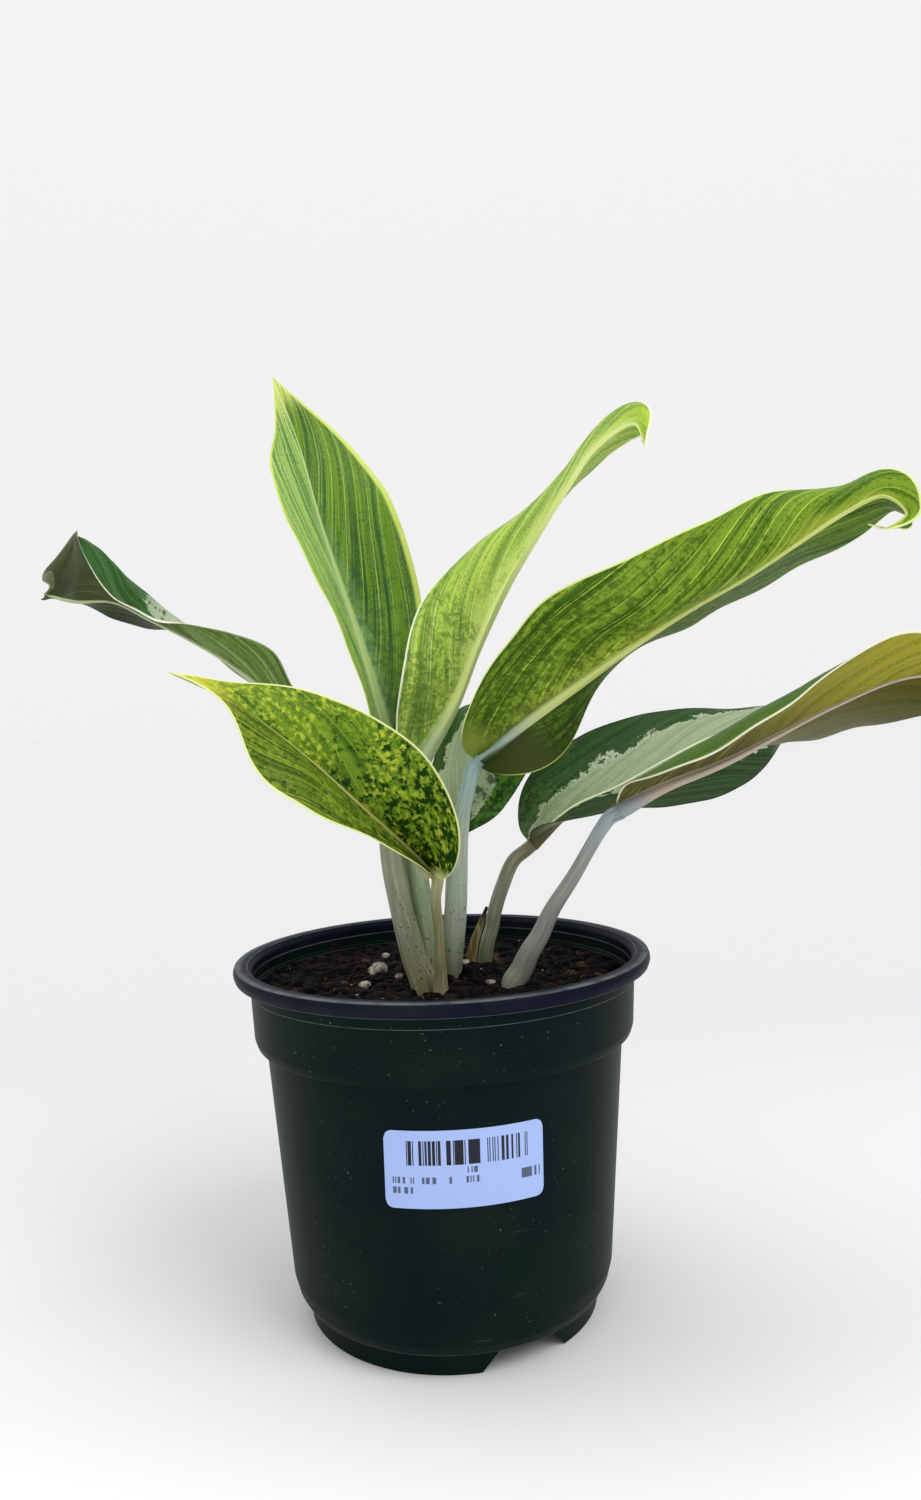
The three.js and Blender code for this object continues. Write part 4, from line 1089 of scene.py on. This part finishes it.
# What each leaf shows. Each entry says which face and half it is for, then its words with the values of
# their inputs. A later entry for a face lies over the one before and changes only what it names.
BLADE_LOOKS = [
    [("upper", "both", dict(tissue=(0xa2c65a, 0x568440), centre=(0xb4d09a, 0.3, -0.42, 0.1, 0.16),
         streak=(0xe2f4ac, 1.0, 1.0), mottle=(0x356048, 0.2), rib=(0xacc8a2, 0xcde09c, 4.2),
         margin=(0xd3e663, 1.1), tip=(0xf4f884, 0.87))),
     ("upper", "right", dict(tissue=(0x6c902c, 0x3a5e2c), centre=(0x86a874, 0.34, -0.5, 0.2),
         streak=(0xb4d468, 0.8, 0.7), mottle=(0x2f5a40, 0.45, 0.75), margin=(0xcfe072, 2.4),
         tip=(0xf4f884, 0.9))),
     ("lower", "both", dict(tissue=(0x7d9a48, 0x617f34), streak=(0xb4ca7c,), rib=(0xc4d09c, 0xc4d09c, 2.2),
         margin=(0xd2de78,), tip=(0xdfe77c,)))],
    [("upper", "both", dict(tissue=(0x5a7340, 0x3e552a), centre=(0x8ba073, 0.3), streak=(0x9db46c,),
         rib=(0xc0d090, 0xc0d090), margin=(0xf4f8da, 0.9), tip=(0xb4cc4c,))),
     ("lower", "both", dict(tissue=(0xb2d052, 0x74963a), centre=(0xc8de74, 0.2, 0.0, 0.2, 0.14),
         streak=(0xd2e680, 1.0, 0.9), mottle=(0x4c6829, 0.55, 0.36), base=(0xa3b87a, 0.05),
         rib=(0xb4c498, 0xe2ee9a, 3.2), margin=(0xf6fada, 0.8), tip=(0xb0cf38, 0.8)))],
    [("upper", "both", dict(tissue=(0x587530, 0x3f5b1f), centre=(0x8ba073, 0.3), streak=(0x94ae5c,),
         rib=(0xc0d090, 0xc0d090), margin=(0xdfe9a8,), tip=(0x3f552b,))),
     ("lower", "right", dict(tissue=(0x7a9c2a, 0x3c6212), centre=(0x9cab3c, 0.15, 0.0, 0.2, 0.13),
         streak=(0xc4da58, 1.0, 0.85), mottle=(0x2c4a12, 0.6, 0.6), base=(0x8d9d42, 0.06),
         rib=(0xa2b9b0, 0xd3dc84, 1.9), margin=(0xe2ee9a,), tip=(0xb4cc3c, 0.8))),
     # Leaf 3's left half faces away and down: its darker greens and dark olive base are painted shade.
     ("lower", "left", dict(tissue=(0x587a1e, 0x2c4810), centre=(0x9cab3c, -1.0),
         streak=(0x9ab844, 0.6, 0.9), mottle=(0x263a12, 0.6, 2.0), base=(0x3f4b20, 0.12),
         margin=(0xb4c064, 0.4), tip=(0xa6c23a, 0.78)))],
    [("upper", "right", dict(tissue=(0x6e8e22, 0x3f6416), streak=(0xb4c94a, 0.25, 0.3),
         speckle=(0xbfcd40, 0.95), mottle=(0x1b3a0c, 1.0, 0.5), base=(0xc6ca7a, 0.06),
         rib=(0xd0cd96, 0xcfd088, 1.6), margin=(0xe9eda2,), tip=(0xe6e04a, 0.75))),
     ("upper", "left", dict(tissue=(0x5e7c1e, 0x264410), streak=(0xb4c240, 0.5, 1.0),
         speckle=(0xb4c444, 0.4), mottle=(0x17300a, 0.7, 0.6), base=(0xc6ca7a, 0.0))),
     ("lower", "both", dict(tissue=(0x7f9440, 0x66802f), streak=(0xa9bc60,), rib=(0xbfb98c, 0xbfc48c, 2.2),
         margin=(0xdce490,), tip=(0xd3d884,)))],
    # Leaf 5: the near-white streaks of its upper face are painted reflections, short glints along its fold.
    [("upper", "both", dict(tissue=(0x3c6a2c, 0x28501f), centre=(0xb3bda0, 6.2, -10.0, 4.0, 0.012, 0.3),
         streak=(0xdfe6d0, 0.0, 0.3), rib=(0xc9cfae, 0xc9cfae), margin=(0xf2f3d8, 0.9),
         tip=(0x4a5a34, 0.95))),
     # Its underside, which lies behind leaf 4, darkens to olive from about its middle, most on the right
     # half: painted shade.
     ("lower", "both", dict(tissue=(0x6c8a3c, 0x3f5a26), streak=(0xa8c07c, 0.9, 0.8),
         rib=(0xb4bd94, 0xb4bd94, 1.2), margin=(0x98a27a, 0.5), tip=(0x4a5034, 0.38, 0.6))),
     ("lower", "right", dict(tissue=(0x64823a, 0x3c5826), margin=(0x4a5038, 0.4),
         tip=(0x2c3024, 0.38, 0.55)))],
    [("upper", "both", dict(tissue=(0x5e8034, 0x3f5f24), centre=(0x98a888, 0.4), streak=(0x98ae6c,),
         rib=(0xd0d4b4, 0xd0d4b4), margin=(0xf0eed2,), tip=(0x8f9448,))),
     ("lower", "both", dict(tissue=(0x65613a, 0x464524), centre=(0x544e34, 0.3, -0.5, 0.2, 0.3),
         streak=(0xa8a450, 0.3, 0.9), mottle=(0x4c5a20, 0.4), rib=(0x98a2a6, 0xb8a898, 2.6),
         margin=(0xf0ecd4, 0.9), tip=(0x9c9830, 0.35, 0.85))),
     ("lower", "left", dict(tissue=(0x58581e, 0x383a12), centre=(0x544e34, -1.0),
         streak=(0x8a883a, 0.3, 1.0), mottle=(0x2e3214,), margin=(0x3c3818, 0.5),
         tip=(0x525014, 0.35, 0.7)))],
    [("upper", "both", dict(tissue=(0x2f5024, 0x233c1c), centre=(0xa0ad8a, 0.34, 0.5, 0.75, 0.012, 0.75),
         streak=(0xccd6b8, 0.05, 0.12), mottle=(0x6c8a4a, 0.3, 0.2), rib=(0xc9c9a4, 0xe2e6b8, 1.0),
         margin=(0x1a2416, 0.4), tip=(0x8c9a78,))),
     ("upper", "right", dict(tissue=(0x29451f, 0x1c3216), centre=(0xa0ad8a, -0.15, 0.9, 0.85),
         mottle=(0x6c8a4a, 0.0))),
     ("lower", "both", dict(tissue=(0x5f6d47, 0x495636), streak=(0x85926a,), rib=(0x6c6040, 0x8d7f62, 2.2),
         margin=(0x55603f,), tip=(0x5f6d47,)))],
    [("upper", "both", dict(tissue=(0x35581f, 0x223c16), centre=(0xa2ae8c, 0.78, -0.1, 0.75, 0.012, 0.7),
         streak=(0xb0bb98, 0.05, 0.12), rib=(0xbcc4a0, 0xbcc4a0, 1.2), margin=(0x1c2814, 0.4),
         tip=(0x50643b,))),
     ("upper", "right", dict(tissue=(0x42701c, 0x254a12), centre=(0x97a484, 0.5, 0.0, 0.8),
         streak=(0xb0bb98, 0.05, 0.2), mottle=(0x16300c, 0.8))),
     ("lower", "both", dict(tissue=(0x596a3e, 0x455530), streak=(0x85926a,), rib=(0xa0a680, 0xa0a680, 2.0),
         margin=(0x55603f,), tip=(0x596a3e,)))],
]

for number, (leaf, looks_of_faces) in enumerate(zip(LEAVES, BLADE_LOOKS), 1):
    material, tree = new_material(f"blade_skin_{number}")
    places = {"Place": vertex_place(tree, "leaf_place"), "Share": vertex_place(tree, "leaf_share")}
    _, to_right, on_top = split(places["Share"])
    masks = {"upper": on_top > 0.5, "lower": on_top < 0.5, "left": to_right < 0.0, "right": to_right > 0.0}
    shown = {"upper": {}, "lower": {}}
    for order, (face, half, looks) in enumerate(looks_of_faces):
        for word, values in looks.items():
            shown[face].update(zip(LOOK_WORDS[word], values))
        skin = Node("ShaderNodeGroup", {**places, **shown[face], "Seed": number + order * 0.31,
                                        "Vein Shift": number * VEIN_SHIFT}, node_tree=foliage)
        if order == 0:
            colour, gloss, relief = skin["Colour"], skin["Roughness"], skin["Height"]
        else:
            mask = masks[face] if half == "both" else masks[face] * masks[half]
            colour = mix(mask, colour, skin["Colour"])
    finish_material(colour, gloss, 0.06, Normal=bumpy(relief, 0.3, 0.0006))
    top_face, low_face, leaf_place, leaf_share = blade_surface(leaf, number)
    shares = for_both(leaf_share)
    shares[:len(shares) // 2, 2] = 1
    mesh = make_mesh(f"leaf_blade_{number}", *slab(top_face, low_face), 70,
                     leaf_place=for_both(leaf_place), leaf_share=shares)
    blade = make_piece(mesh, material)
    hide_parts(f"blade_{number}")
